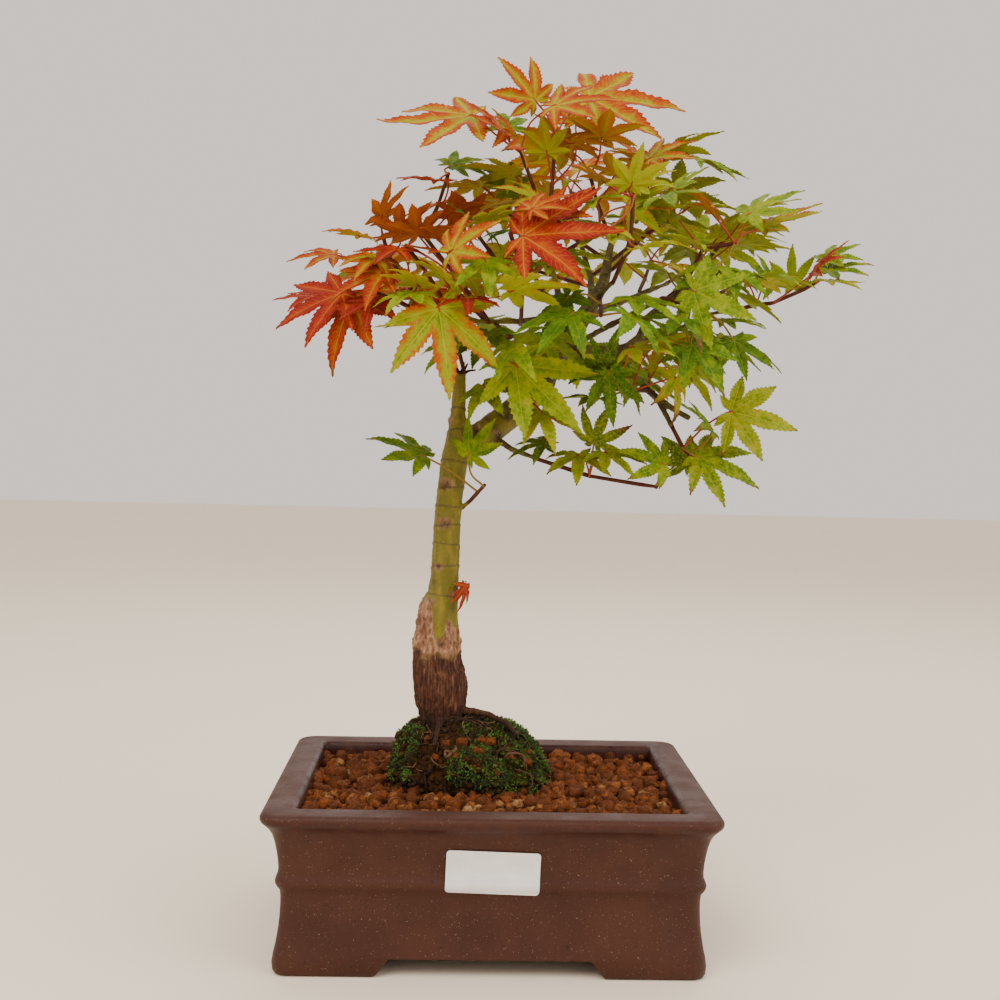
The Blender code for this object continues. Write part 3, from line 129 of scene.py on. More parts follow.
# Autumn tones (0 dark green, 1 green, 2 yellow green, 3 orange, 4 red, 5 crimson) round the
# crown. Each leaf takes the tone of the nearest place: x, y, z, tone.
TONES = {
    "top_right": ((-2, -16, 366, 2.95), (80, 10, 355, 2.95), (14, -18, 339, 2), (39, -16, 338, 3.6),
                  (40, 6, 335, 2.6), (32, 24, 363, 3)),
    "top_left": ((46, -28, 350, 2.95), (-52, -30, 334, 2.95), (-17, -32, 346, 3.6), (-2, -34, 336, 3.3),
                 (-3, 16, 354, 1.2), (-3, -6, 329, 2.9)),
    "upper_left_fan": ((-20, -12, 318, 2), (-18, 8, 320, 1), (-6, -36, 304, 2), (-1, 4, 316, 0.8),
                       (-7, -44, 289, 0.7), (-7, -36, 286, 2.7)),
    "upper_left": ((-8, 4, 329, 1.1), (-41, -22, 313, 1), (-26, -32, 301, 4.5), (-10, -26, 304, 4.4),
                   (-17, -42, 294, 4), (-37, -38, 300, 4.3), (-43, -12, 312, 3.4)),
    "left_fan": ((-45, -28, 309, 1.8), (-43, -34, 302, 4.2), (-68, -22, 292, 2.7), (-88, -22, 282, 3.4),
                 (-57, -46, 273, 3), (-50, -48, 276, 4.4), (-71, -2, 274, 1.5)),
    "left_low": ((-68, -54, 264, 3.7), (-45, -58, 257, 4.9), (-90, -38, 253, 4.6), (-91, -20, 265, 4.4),
                 (-70, -56, 235, 4), (-58, -46, 249, 0.5), (-52, -48, 247, 3)),
    "left_front": ((-18, -66, 224, 2.4), (-39, -56, 284, 3.7), (-31, -56, 279, 2.2), (-43, -54, 275, 2),
                   (-46, -60, 255, 1.8), (-25, -32, 252, 3.4), (-13, -66, 248, 5)),
    "centre_left": ((1, -62, 279, 2.8), (-4, -66, 264, 1.6), (0, -52, 299, 1.7), (-22, -64, 264, 1.9)),
    "centre_front": ((43, -74, 288, 4.3), (33, -58, 308, 3.7), (23, -76, 279, 1.9), (29, -68, 274, 2),
                     (18, -54, 310, 4.2)),
    "centre_up": ((51, -50, 322, 1.9), (26, -48, 317, 3.2), (67, -30, 321, 1.7), (62, -62, 286, 1.8),
                  (35, -54, 308, 1.4), (25, -62, 285, 1.9), (34, -66, 268, 1.5)),
    "upper_right_back": ((82, 2, 341, 2.8), (48, 14, 338, 2.6), (109, 16, 327, 1.3), (62, -14, 309, 1.6),
                         (48, 24, 319, 1.9)),
    "upper_right": ((84, -22, 319, 1.6), (74, -32, 312, 3.3), (120, -28, 315, 1.7), (133, -8, 314, 2.2),
                    (65, -38, 293, 1.7), (106, -12, 296, 1.3), (78, -36, 273, 1.3)),
    "far_right": ((98, 10, 286, 2.2), (126, 24, 280, 1.9), (116, 32, 288, 1.2), (133, 28, 293, 1),
                  (143, 4, 297, 4.2), (163, 14, 291, 1.3), (151, 8, 277, 1.8), (153, 34, 297, 1.1)),
    "right_mid": ((97, -48, 257, 1.2), (96, -40, 235, 0.8), (110, -18, 262, 1.1), (84, -42, 240, 4.2),
                  (84, -58, 226, 0.9), (60, -58, 251, 0.8)),
    "right_low": ((124, -22, 216, 1.7), (77, -6, 224, 1.2), (109, -24, 195, 1.3), (72, -6, 215, 1),
                  (83, -40, 212, 1.1)),
    "low_stem": ((49, -22, 207, 1.4), (32, -22, 193, 1.7), (56, -24, 197, 1.5), (89, 8, 201, 1.3),
                 (44, -8, 223, 1.2)),
    "mid_star": ((43, -50, 215, 0.6), (44, -36, 250, 0.6), (62, -34, 226, 0.6), (71, -46, 247, 0.9),
                 (63, -50, 239, 2.2), (31, -34, 225, 1.3)),
    "low_front": ((31, -54, 213, 1.8), (1, -36, 220, 1.4), (20, -46, 207, 1.9), (6, -10, 213, 0.7),
                  (29, -36, 247, 1.7)),
    "trunk_shoot": ((-2, -24, 217, 1.2), (-53, -16, 212, 1.2)),
    "on_trunk": ((-14, -9, 134, 4.4),),
    "inner_back_right": ((103, 62, 298, 1.4), (81, 59, 284, 1.9)),
    "inner_far_back": ((60, 76, 290, 1.6), (90, 76, 290, 2.2)),
    "inner_back_top": ((20, 60, 325, 2.6), (50, 60, 325, 3.2)),
    "inner_back_crown": ((60, 30, 298, 2.0), (80, 50, 310, 1.4)),
    "inner_back_left": ((-42, 40, 279, 3.0), (-42, 70, 279, 4.1)),
    "inner_back_low": ((10, 60, 246, 0.9), (40, 60, 246, 1.4)),
    "inner_crown": ((17, 20, 309, 2.4), (30, 40, 300, 2.9)),
    "inner_front": ((25, -50, 262, 0.8), (50, -50, 257, 1.2)),
    "inner_front_left": ((-12, -30, 250, 1.1), (8, -38, 246, 1.4)),
    "inner_right": ((78, 30, 276, 1.2), (86, 10, 288, 1.7)),
    "inner_right_front": ((75, -15, 268, 1.0), (98, -12, 272, 1.4)),
    "inner_low_back": ((60, 44, 242, 0.7), (86, 40, 242, 1.2)),
    "inner_left": ((-35, 10, 258, 2.0), (-10, 16, 258, 1.2)),
    "inner_left_back": ((-42, 0, 270, 3.2), (-42, 22, 270, 3.8)),
    "inner_middle": ((30, -32, 296, 1.6), (46, -28, 296, 2.1)),
    "inner_top": ((28, 2, 322, 2.5), (50, 2, 318, 2.1), (36, -10, 326, 3.1)),
    "inner_top_right": ((56, 16, 318, 2.4), (74, 24, 322, 1.7), (62, 30, 328, 2.9)),
    "inner_crown_left": ((6, -4, 300, 1.8), (16, 8, 304, 1.3), (-4, 10, 310, 2.6)),
    "inner_middle_right": ((56, -6, 296, 1.3), (68, 2, 302, 1.8)),
    "inner_right_top": ((84, 14, 290, 1.2), (98, 8, 296, 1.7)),
    "inner_centre": ((2, -28, 280, 1.6), (22, -28, 282, 1.1)),
    "inner_left_top": ((-20, -8, 270, 2.9), (-16, 8, 272, 2.1)),
    "inner_back": ((28, 36, 284, 1.4), (24, 54, 288, 2.1)),
    "inner_low_right": ((78, 12, 254, 0.9), (90, 0, 250, 1.2)),
    "inner_low_middle": ((34, -14, 240, 0.6), (50, -10, 238, 0.9)),
}
# Sprays with pale flecks and with dry brown tips, each from 0 to 1.
FLECKED = {"right_low": 0.9, "low_stem": 0.8, "mid_star": 0.5, "right_mid": 0.4, "low_front": 0.5}
DRY = {
    "right_low": 0.9, "low_stem": 0.9, "mid_star": 0.7, "right_mid": 0.7, "low_front": 0.6,
    "far_right": 0.7, "upper_right": 0.5, "left_low": 0.4, "upper_left_fan": 0.4,
}

# Dead twigs on the cut leader: where each ends, in mm.
LEADER_CUT = (-16.6, -2.0, 234.5)
LEADER_TWIGS = (
    (-22.5, -4.0, 239.5), (-19.5, -7.0, 242.0), (-13.5, -6.0, 240.0), (-10.0, -3.5, 237.5),
    (-15.0, 3.0, 241.0), (-21.5, 1.5, 238.0), (-17.5, -6.5, 236.0),
)
# The small red leaf on the trunk: its bud, the bend of its stalk, the foot and tip of its blade.
TRUNK_LEAF = ((-16.8, -5.4, 142.6), (-14.0, -6.6, 145.6), (-12.8, -7.0, 146.6), (-13.4, -8.5, 134.4))

# Leaves ------------------------------------------------------------------------------------

HUB_SPOKES = 17               # edges that meet at the middle of a blade in the solid
RING_REACH = 1.3 * MM         # points of one ring of a shoot lie closer than this
# Lobes of a blade: angle from the midrib, length against the middle lobe's, and half width.
LOBES = (
    (-130.0, 0.30, 0.055), (-87.0, 0.60, 0.095), (-43.5, 0.88, 0.125), (0.0, 1.0, 0.135),
    (43.5, 0.88, 0.125), (87.0, 0.60, 0.095), (130.0, 0.30, 0.055),
)
SINUS_REACH = (0.07, 0.17, 0.25, 0.31, 0.31, 0.25, 0.17, 0.07)   # hollows between the lobes
OUTER_SINUS = 154.0
TEETH = 9
BLADE_KINDS = 8


# Small tools ---------------------------------------------------------------------------------

def merged_copy(name):
    """A bmesh of a CAD node whose loose triangles are joined."""
    work = bmesh.new()
    work.from_mesh(NODES[name].data)
    bmesh.ops.remove_doubles(work, verts=work.verts, dist=0.002 * MM)
    return work


def mesh_from(name, work):
    mesh = bpy.data.meshes.new(name)
    work.to_mesh(mesh)
    work.free()
    return mesh


def add_object(name, mesh):
    obj = bpy.data.objects.new(name, mesh)
    bpy.context.scene.collection.objects.link(obj)
    return obj


def settle(obj):
    """Turn an object with live modifiers into a plain mesh."""
    graph = bpy.context.evaluated_depsgraph_get()
    mesh = bpy.data.meshes.new_from_object(obj.evaluated_get(graph))
    obj.modifiers.clear()
    obj.data = mesh
    return obj


def set_material(obj, material):
    obj.data.materials.clear()
    obj.data.materials.append(material)


def smooth_shade(mesh, degrees):
    mesh.shade_smooth()
    mesh.set_sharp_from_angle(angle=math.radians(degrees))


def coordinates(mesh):
    flat = np.empty(len(mesh.vertices) * 3, np.float32)
    mesh.vertices.foreach_get("co", flat)
    return flat.reshape(-1, 3).astype(float)


def normals(mesh):
    flat = np.empty(len(mesh.vertices) * 3, np.float32)
    mesh.vertices.foreach_get("normal", flat)
    return flat.reshape(-1, 3).astype(float)


def write_coordinates(mesh, points):
    mesh.vertices.foreach_set("co", np.asarray(points, np.float32).ravel())
    mesh.update()


def write_attribute(mesh, name, values):
    values = np.asarray(values, np.float32)
    kind = "FLOAT" if values.ndim == 1 else "FLOAT_VECTOR"
    layer = mesh.attributes.new(name, kind, "POINT")
    layer.data.foreach_set("value" if values.ndim == 1 else "vector", values.ravel())


def remeshed(name, node, voxel, smoothing):
    """A fine even copy of a CAD node, with its edges eased."""
    obj = add_object(name, mesh_from(name, merged_copy(node)))
    remesh = obj.modifiers.new("remesh", "REMESH")
    remesh.mode = "VOXEL"
    remesh.voxel_size = voxel
    ease = obj.modifiers.new("ease", "SMOOTH")
    ease.factor = 0.5
    ease.iterations = smoothing
    return settle(obj)


def lumps(points, scale, octaves=3, seed=0.0):
    """Soft noise between -1 and 1 at each point; scale is the lumps' size in metres."""
    shift = Vector((seed, 2.3 * seed, -1.7 * seed))
    return np.array([noise.fractal(Vector(point) / scale + shift, 0.6, 2.0, octaves) for point in points])


def eased(values, low, high):
    """0 below low, 1 above high and a smooth step between them."""
    share = np.clip((values - low) / (high - low), 0.0, 1.0)
    return share * share * (3.0 - 2.0 * share)


def finish_piece(obj, slot, *nodes):
    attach(obj, BODY)
    if nodes:
        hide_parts(*nodes)


# Shader tools ----------------------------------------------------------------------------------

class Recipe:
    """A material under construction: each method adds one node and gives its output."""

    def __init__(self, name):
        self.material = bpy.data.materials.new(name)
        self.material.use_nodes = True
        self.tree = self.material.node_tree
        self.shader = self.tree.nodes["Principled BSDF"]
        self.place = self.node("ShaderNodeTexCoord").outputs["Object"]

    def node(self, kind, **settings):
        made = self.tree.nodes.new(kind)
        for name, value in settings.items():
            setattr(made, name, value)
        return made

    def feed(self, socket, value):
        if isinstance(value, bpy.types.NodeSocket):
            self.tree.links.new(value, socket)
        elif socket.type == "RGBA":
            socket.default_value = (*value, 1.0)
        else:
            socket.default_value = value

    def math(self, operation, first, second=0.0, clamp=False):
        made = self.node("ShaderNodeMath", operation=operation, use_clamp=clamp)
        self.feed(made.inputs[0], first)
        self.feed(made.inputs[1], second)
        return made.outputs[0]

    def attribute(self, name, vector=False):
        made = self.node("ShaderNodeAttribute", attribute_name=name)
        return made.outputs["Vector" if vector else "Fac"]

    def parts(self, vector):
        made = self.node("ShaderNodeSeparateXYZ")
        self.feed(made.inputs[0], vector)
        return made.outputs

    def stretched(self, scale):
        made = self.node("ShaderNodeMapping")
        self.feed(made.inputs["Vector"], self.place)
        made.inputs["Scale"].default_value = scale
        return made.outputs[0]

    def noise(self, scale, detail=3.0, rough=0.55, at=None):
        made = self.node("ShaderNodeTexNoise")
        self.feed(made.inputs["Vector"], at or self.place)
        made.inputs["Scale"].default_value = scale
        made.inputs["Detail"].default_value = detail
        made.inputs["Roughness"].default_value = rough
        return made.outputs["Fac"]

    def cells(self, scale, output="Distance"):
        made = self.node("ShaderNodeTexVoronoi")
        self.feed(made.inputs["Vector"], self.place)
        made.inputs["Scale"].default_value = scale
        return made.outputs[output]

    def span(self, value, low, high, to_low=0.0, to_high=1.0):
        made = self.node("ShaderNodeMapRange", interpolation_type="SMOOTHSTEP")
        for number, entry in enumerate((value, low, high, to_low, to_high)):
            self.feed(made.inputs[number], entry)
        return made.outputs[0]

    def ramp(self, value, stops):
        made = self.node("ShaderNodeValToRGB")
        elements = made.color_ramp.elements
        while len(elements) < len(stops):
            elements.new(0.5)
        for element, (position, colour) in zip(elements, stops):
            element.position = position
            element.color = (*colour, 1.0)
        self.feed(made.inputs[0], value)
        return made.outputs[0]

    def blend(self, share, first, second, mode="MIX"):
        made = self.node("ShaderNodeMix", data_type="RGBA", blend_type=mode)
        self.feed(made.inputs[0], share)
        self.feed(made.inputs[6], first)
        self.feed(made.inputs[7], second)
        return made.outputs[2]

    def bump(self, height, strength, distance, over=None):
        made = self.node("ShaderNodeBump")
        made.inputs["Strength"].default_value = strength
        made.inputs["Distance"].default_value = distance
        self.feed(made.inputs["Height"], height)
        if over:
            self.feed(made.inputs["Normal"], over)
        return made.outputs[0]

    def finish(self, colour, rough, normal=None, **constants):
        self.feed(self.shader.inputs["Base Color"], colour)
        self.feed(self.shader.inputs["Roughness"], rough)
        if normal:
            self.feed(self.shader.inputs["Normal"], normal)
        for name, value in constants.items():
            self.shader.inputs[name.replace("_", " ")].default_value = value
        return self.material


# Geometry Nodes tools --------------------------------------------------------------------------

class Tree:
    """A Geometry Nodes tree under construction, with named inputs."""

    def __init__(self, name, inputs):
        self.group = bpy.data.node_groups.new(name, "GeometryNodeTree")
        self.group.interface.new_socket("Geometry", in_out="INPUT", socket_type="NodeSocketGeometry")
        for title, kind in inputs:
            self.group.interface.new_socket(title, in_out="INPUT", socket_type="NodeSocket" + kind)
        self.group.interface.new_socket("Geometry", in_out="OUTPUT", socket_type="NodeSocketGeometry")
        self.given = self.group.nodes.new("NodeGroupInput").outputs
        self.result = self.group.nodes.new("NodeGroupOutput").inputs[0]

    def node(self, kind, inputs=(), **settings):
        made = self.group.nodes.new(kind)
        for name, value in settings.items():
            setattr(made, name, value)
        for key, value in dict(inputs).items():
            if isinstance(value, bpy.types.NodeSocket):
                self.group.links.new(value, made.inputs[key])
            else:
                made.inputs[key].default_value = value
        return made

    def math(self, operation, first, second):
        return self.node("ShaderNodeMath", {0: first, 1: second}, operation=operation).outputs[0]

    def join(self, *parts):
        made = self.group.nodes.new("GeometryNodeJoinGeometry")
        for part in parts:
            self.group.links.new(part, made.inputs[0])
        return made.outputs[0]


def apply_tree(obj, tree, **values):
    """Run a tree on an object: each value goes to the input of that name."""
    modifier = obj.modifiers.new(tree.name, "NODES")
    modifier.node_group = tree
    for item in tree.interface.items_tree:
        if item.item_type == "SOCKET" and item.in_out == "INPUT" and item.name in values:
            modifier[item.identifier] = values[item.name]


def scatter_tree():
    """Strews a shape over the parts of a surface whose named cover is above a half."""
    tree = Tree("strewn", (
        ("Shape", "Object"), ("Finish", "Material"), ("Cover", "String"), ("Spacing", "Float"),
        ("Smallest", "Float"), ("Largest", "Float"), ("Sink", "Float"), ("Upright", "Float"),
        ("Warp", "Float"), ("WarpSize", "Float"), ("Seed", "Int")))
    given = tree.given
    cover = tree.node("GeometryNodeInputNamedAttribute", {"Name": given["Cover"]}, data_type="FLOAT")
    covered = tree.node("FunctionNodeCompare", {0: cover.outputs[0], 1: 0.5}, data_type="FLOAT",
                        operation="GREATER_THAN")
    dense = tree.math("DIVIDE", 2.0, tree.math("MULTIPLY", given["Spacing"], given["Spacing"]))
    points = tree.node("GeometryNodeDistributePointsOnFaces", {
        "Mesh": given["Geometry"], "Selection": covered.outputs[0], "Distance Min": given["Spacing"],
        "Density Max": dense, "Seed": given["Seed"]}, distribute_method="POISSON")
    depth = tree.node("ShaderNodeVectorMath", {0: points.outputs["Normal"], "Scale": given["Sink"]},
                      operation="SCALE")
    sunk = tree.node("GeometryNodeSetPosition", {"Geometry": points.outputs["Points"],
                                                 "Offset": depth.outputs[0]})
    tumble = tree.node("FunctionNodeRandomValue", {0: (0.0, 0.0, 0.0), 1: (6.28, 6.28, 6.28),
                                                   "Seed": given["Seed"]}, data_type="FLOAT_VECTOR")
    tumbled = tree.node("FunctionNodeEulerToRotation", {0: tumble.outputs[0]})
    turn = tree.node("FunctionNodeRandomValue", {2: 0.0, 3: 6.28, "Seed": given["Seed"]},
                     data_type="FLOAT")
    spin = tree.node("FunctionNodeAxisAngleToRotation", {"Axis": (0.0, 0.0, 1.0), "Angle": turn.outputs[1]})
    stood = tree.node("FunctionNodeRotateRotation", {0: points.outputs["Rotation"], 1: spin.outputs[0]},
                      rotation_space="LOCAL")
    mixed = tree.node("ShaderNodeMix", {0: given["Upright"]}, data_type="ROTATION")
    tree.group.links.new(tumbled.outputs[0], mixed.inputs[8])
    tree.group.links.new(stood.outputs[0], mixed.inputs[9])
    size = tree.node("FunctionNodeRandomValue", {2: given["Smallest"], 3: given["Largest"],
                                                 "Seed": given["Seed"]}, data_type="FLOAT")
    shape = tree.node("GeometryNodeObjectInfo", {"Object": given["Shape"]})
    strewn = tree.node("GeometryNodeInstanceOnPoints", {
        "Points": sunk.outputs[0], "Instance": shape.outputs["Geometry"],
        "Rotation": mixed.outputs[3], "Scale": size.outputs[1]})
    grain = tree.node("FunctionNodeRandomValue", {2: 0.0, 3: 1.0, "Seed": 7}, data_type="FLOAT")
    marked = tree.node("GeometryNodeStoreNamedAttribute", {
        "Geometry": strewn.outputs[0], "Name": "grain"}, data_type="FLOAT", domain="INSTANCE")
    tree.group.links.new(grain.outputs[1], marked.inputs["Value"])
    real = tree.node("GeometryNodeRealizeInstances", {0: marked.outputs[0]})
    wave = tree.node("ShaderNodeTexNoise", {"Scale": given["WarpSize"], "Detail": 1.0})
    level = tree.node("ShaderNodeVectorMath", {0: wave.outputs["Color"], 1: (0.5, 0.5, 0.5)},
                      operation="SUBTRACT")
    push = tree.node("ShaderNodeVectorMath", {0: level.outputs[0], "Scale": given["Warp"]},
                     operation="SCALE")
    warped = tree.node("GeometryNodeSetPosition", {"Geometry": real.outputs[0], "Offset": push.outputs[0]})
    dressed = tree.node("GeometryNodeSetMaterial", {"Geometry": warped.outputs[0],
                                                    "Material": given["Finish"]})
    tree.group.links.new(tree.join(given["Geometry"], dressed.outputs[0]), tree.result)
    return tree.group


def stem_tree():
    """Gives lines of points a round body of their own radius, and keeps the geometry beside it."""
    tree = Tree("stems", (("Lines", "Object"), ("Finish", "Material"), ("Sides", "Int")))
    given = tree.given
    lines = tree.node("GeometryNodeObjectInfo", {"Object": given["Lines"]})
    curves = tree.node("GeometryNodeMeshToCurve", {"Mesh": lines.outputs["Geometry"]})
    radius = tree.node("GeometryNodeInputNamedAttribute", {"Name": "radius"}, data_type="FLOAT")
    profile = tree.node("GeometryNodeCurvePrimitiveCircle", {"Resolution": given["Sides"], "Radius": 1.0})
    body = tree.node("GeometryNodeCurveToMesh", {
        "Curve": curves.outputs[0], "Profile Curve": profile.outputs[0], "Scale": radius.outputs[0],
        "Fill Caps": True})
    smooth = tree.node("GeometryNodeSetShadeSmooth", {"Geometry": body.outputs[0]})
    dressed = tree.node("GeometryNodeSetMaterial", {"Geometry": smooth.outputs[0],
                                                    "Material": given["Finish"]})
    real = tree.node("GeometryNodeRealizeInstances", {0: dressed.outputs[0]})
    tree.group.links.new(tree.join(given["Geometry"], real.outputs[0]), tree.result)
    return tree.group


def line_object(name, lines):
    """An object of open lines; each line is a list of (point, radius, tone)."""
    points = []
    edges = []
    for line in lines:
        first = len(points)
        points += line
        edges += [(first + i, first + i + 1) for i in range(len(line) - 1)]
    mesh = bpy.data.meshes.new(name)
    mesh.from_pydata([tuple(point) for point, _, _ in points], edges, [])
    write_attribute(mesh, "radius", [radius for _, radius, _ in points])
    write_attribute(mesh, "tone", [tone for _, _, tone in points])
    return add_object(name, mesh)


def eased_line(points, steps):
    """A smooth line through points, each with its radius and tone."""
    rows = np.array([(*point, radius, tone) for point, radius, tone in points], float)
    ends = np.vstack([2.0 * rows[0] - rows[1], rows, 2.0 * rows[-1] - rows[-2]])
    line = []
    for i in range(len(rows) - 1):
        a, b, c, d = ends[i:i + 4]
        for step in range(steps):
            t = step / steps
            row = 0.5 * (2.0 * b + (c - a) * t + (2.0 * a - 5.0 * b + 4.0 * c - d) * t * t
                         + (3.0 * b - a - 3.0 * c + d) * t ** 3)
            line.append((Vector(row[:3]), float(row[3]), float(row[4])))
    line.append((Vector(rows[-1][:3]), float(rows[-1][3]), float(rows[-1][4])))
    return line


# Finishes ------------------------------------------------------------------------------------

def fired_clay(settings):
    """Dull brown stoneware with pale grains, wet inside the rim and on its front lip."""
    recipe = Recipe("fired_clay")
    height = recipe.parts(recipe.place)[2]
    cloud = recipe.noise(38.0, 6.0, 0.6)
    colour = recipe.ramp(recipe.span(cloud, 0.3, 0.7), (
        (0.0, tuple(0.72 * part for part in settings.clay)), (1.0, tuple(settings.clay))))
    rim = recipe.span(height, 0.0585, 0.0640)
    colour = recipe.blend(recipe.math("MULTIPLY", rim, 0.55), colour, settings.rim_clay)
    fleck = recipe.span(recipe.noise(1500.0, 1.0), 0.69, 0.75)
    colour = recipe.blend(recipe.math("MULTIPLY", fleck, settings.flecks), colour, (0.26, 0.17, 0.12))
    pit = recipe.span(recipe.noise(700.0, 2.0), 0.34, 0.28)
    colour = recipe.blend(recipe.math("MULTIPLY", pit, 0.6), colour, (0.012, 0.005, 0.004))
    streak = recipe.noise(1.0, 5.0, 0.65, at=recipe.stretched((75.0, 75.0, 48.0)))
    wet = recipe.math("MULTIPLY", recipe.attribute("inside"), recipe.span(streak, 0.40, 0.56))
    colour = recipe.blend(wet, colour, (0.034, 0.006, 0.004))
    rough = recipe.span(recipe.noise(90.0, 4.0), 0.3, 0.7, 0.46, 0.62)
    rough = recipe.math("SUBTRACT", rough, recipe.math("MULTIPLY", wet, 0.24))
    soft = recipe.bump(cloud, 0.35, 0.0009)
    return recipe.finish(colour, rough, recipe.bump(recipe.noise(900.0, 2.0), 0.35, 0.00025, soft),
                         Specular_IOR_Level=0.28)


def blank_paper():
    recipe = Recipe("blank_paper")
    tint = recipe.ramp(recipe.noise(120.0, 4.0), ((0.35, (0.78, 0.78, 0.76)), (0.65, (0.86, 0.86, 0.84))))
    return recipe.finish(tint, 0.42, recipe.bump(recipe.noise(2500.0, 2.0), 0.15, 0.00005), Coat_Weight=0.25)


def moulded_plastic():
    recipe = Recipe("moulded_plastic")
    tint = recipe.ramp(recipe.noise(300.0), ((0.3, (0.012, 0.012, 0.013)), (0.7, (0.03, 0.03, 0.03))))
    return recipe.finish(tint, 0.55, recipe.bump(recipe.noise(1800.0), 0.2, 0.0001))


def dull_wire():
    recipe = Recipe("dull_wire")
    tint = recipe.ramp(recipe.noise(500.0), ((0.3, (0.42, 0.42, 0.43)), (0.7, (0.62, 0.62, 0.63))))
    return recipe.finish(tint, recipe.span(recipe.noise(900.0), 0.3, 0.7, 0.3, 0.5), Metallic=1.0)


def baked_grain():
    """Granules of baked clay, each of its own shade."""
    recipe = Recipe("baked_grain")
    own = recipe.attribute("grain")
    colour = recipe.ramp(own, (
        (0.0, (0.030, 0.007, 0.002)), (0.2, (0.080, 0.017, 0.003)), (0.5, (0.17, 0.038, 0.005)),
        (0.76, (0.25, 0.058, 0.008)), (0.93, (0.34, 0.125, 0.028)), (0.985, (0.44, 0.25, 0.10))))
    dirt = recipe.span(recipe.noise(420.0, 4.0, 0.65), 0.38, 0.62)
    colour = recipe.blend(recipe.math("SUBTRACT", 1.0, dirt), colour, (0.060, 0.017, 0.006))
    colour = recipe.blend(0.3, colour, recipe.ramp(recipe.noise(2200.0), (
        (0.35, (0.045, 0.013, 0.005)), (0.65, (0.34, 0.11, 0.03)))))
    rugged = recipe.bump(recipe.noise(520.0, 4.0, 0.65), 0.9, 0.0012)
    return recipe.finish(colour, 0.97, recipe.bump(recipe.noise(1700.0, 4.0, 0.7), 0.7, 0.0004, rugged),
                         Specular_IOR_Level=0.2)


def dark_soil():
    """Damp soil with fibres and pale crumbs; moss film where the surface carries it."""
    recipe = Recipe("dark_soil")
    colour = recipe.ramp(recipe.noise(260.0, 6.0, 0.7), (
        (0.30, (0.008, 0.004, 0.001)), (0.50, (0.032, 0.015, 0.004)), (0.64, (0.095, 0.036, 0.009)),
        (0.76, (0.20, 0.080, 0.022))))
    patches = recipe.span(recipe.noise(520.0, 4.0), 0.46, 0.60)
    film = recipe.math("MULTIPLY", recipe.attribute("film"), patches)
    green = recipe.ramp(recipe.noise(800.0, 3.0), (
        (0.3, (0.008, 0.020, 0.003)), (0.55, (0.030, 0.080, 0.006)), (0.75, (0.10, 0.19, 0.014))))
    colour = recipe.blend(film, colour, green)
    return recipe.finish(colour, 0.95, recipe.bump(recipe.noise(700.0, 5.0, 0.7), 0.9, 0.0009),
                         Specular_IOR_Level=0.15)


def moss_green():
    recipe = Recipe("moss_green")
    own = recipe.attribute("grain")
    patch = recipe.noise(130.0, 3.0)
    shade = recipe.math("ADD", recipe.math("MULTIPLY", own, 0.45), recipe.span(patch, 0.3, 0.7, 0.0, 0.55))
    colour = recipe.ramp(shade, (
        (0.05, (0.006, 0.016, 0.003)), (0.35, (0.020, 0.058, 0.004)), (0.62, (0.070, 0.175, 0.006)),
        (0.85, (0.11, 0.23, 0.009)), (0.98, (0.24, 0.24, 0.02))))
    return recipe.finish(colour, 0.85, recipe.bump(recipe.noise(2500.0), 0.4, 0.0002), Sheen_Weight=0.15)


def maple_bark(settings):
    """Green bark with ring scars above, corky scars and brown fibres below."""
    recipe = Recipe("maple_bark")
    height = recipe.parts(recipe.place)[2]
    green = recipe.ramp(recipe.noise(1.0, 5.0, 0.6, at=recipe.stretched((260.0, 260.0, 90.0))), (
        (0.28, tuple(0.78 * part for part in settings.green_bark)), (0.5, tuple(settings.green_bark)),
        (0.72, (0.25, 0.185, 0.010))))
    olive = recipe.ramp(recipe.noise(300.0, 4.0), (
        (0.3, (0.030, 0.020, 0.006)), (0.55, (0.095, 0.072, 0.014)), (0.75, (0.16, 0.125, 0.024))))
    colour = recipe.blend(recipe.span(recipe.attribute("old"), 0.2, 0.8), green, olive)
    cork = recipe.ramp(recipe.noise(1.0, 6.0, 0.7, at=recipe.stretched((520.0, 520.0, 200.0))), (
        (0.30, (0.055, 0.021, 0.010)), (0.46, (0.19, 0.085, 0.043)), (0.58, (0.34, 0.185, 0.10)),
        (0.72, (0.52, 0.34, 0.21))))
    covered = recipe.math("MAXIMUM", recipe.attribute("cork"), recipe.attribute("brown"))
    colour = recipe.blend(covered, colour, cork)
    fibre = recipe.noise(1.0, 5.0, 0.6, at=recipe.stretched((1050.0, 1050.0, 120.0)))
    brown = recipe.ramp(fibre, (
        (0.34, (0.014, 0.005, 0.003)), (0.50, (0.062, 0.020, 0.009)), (0.64, (0.130, 0.050, 0.023)),
        (0.74, (0.26, 0.12, 0.060))))
    colour = recipe.blend(recipe.attribute("brown"), colour, brown)
    colour = recipe.blend(recipe.attribute("scar"), colour, (0.050, 0.022, 0.010))
    # Bark darker towards the bottom: it darkens from 97 mm down and is darkest below 88 mm.
    damp = recipe.math("MULTIPLY", recipe.attribute("damp"), 0.7)
    colour = recipe.blend(damp, colour, (0.014, 0.006, 0.003))
    dots = recipe.span(recipe.cells(620.0), 0.22, 0.12)
    dots = recipe.math("MULTIPLY", recipe.math("SUBTRACT", 1.0, covered), dots)
    colour = recipe.blend(recipe.math("MULTIPLY", dots, 0.35), colour, (0.34, 0.29, 0.12))
    rough = recipe.span(height, 0.118, 0.145, 0.85, 0.60)
    relief = recipe.bump(fibre, 0.25, 0.0005)
    return recipe.finish(colour, rough, recipe.bump(recipe.noise(1100.0, 4.0), 0.5, 0.0003, relief),
                         Specular_IOR_Level=0.3)


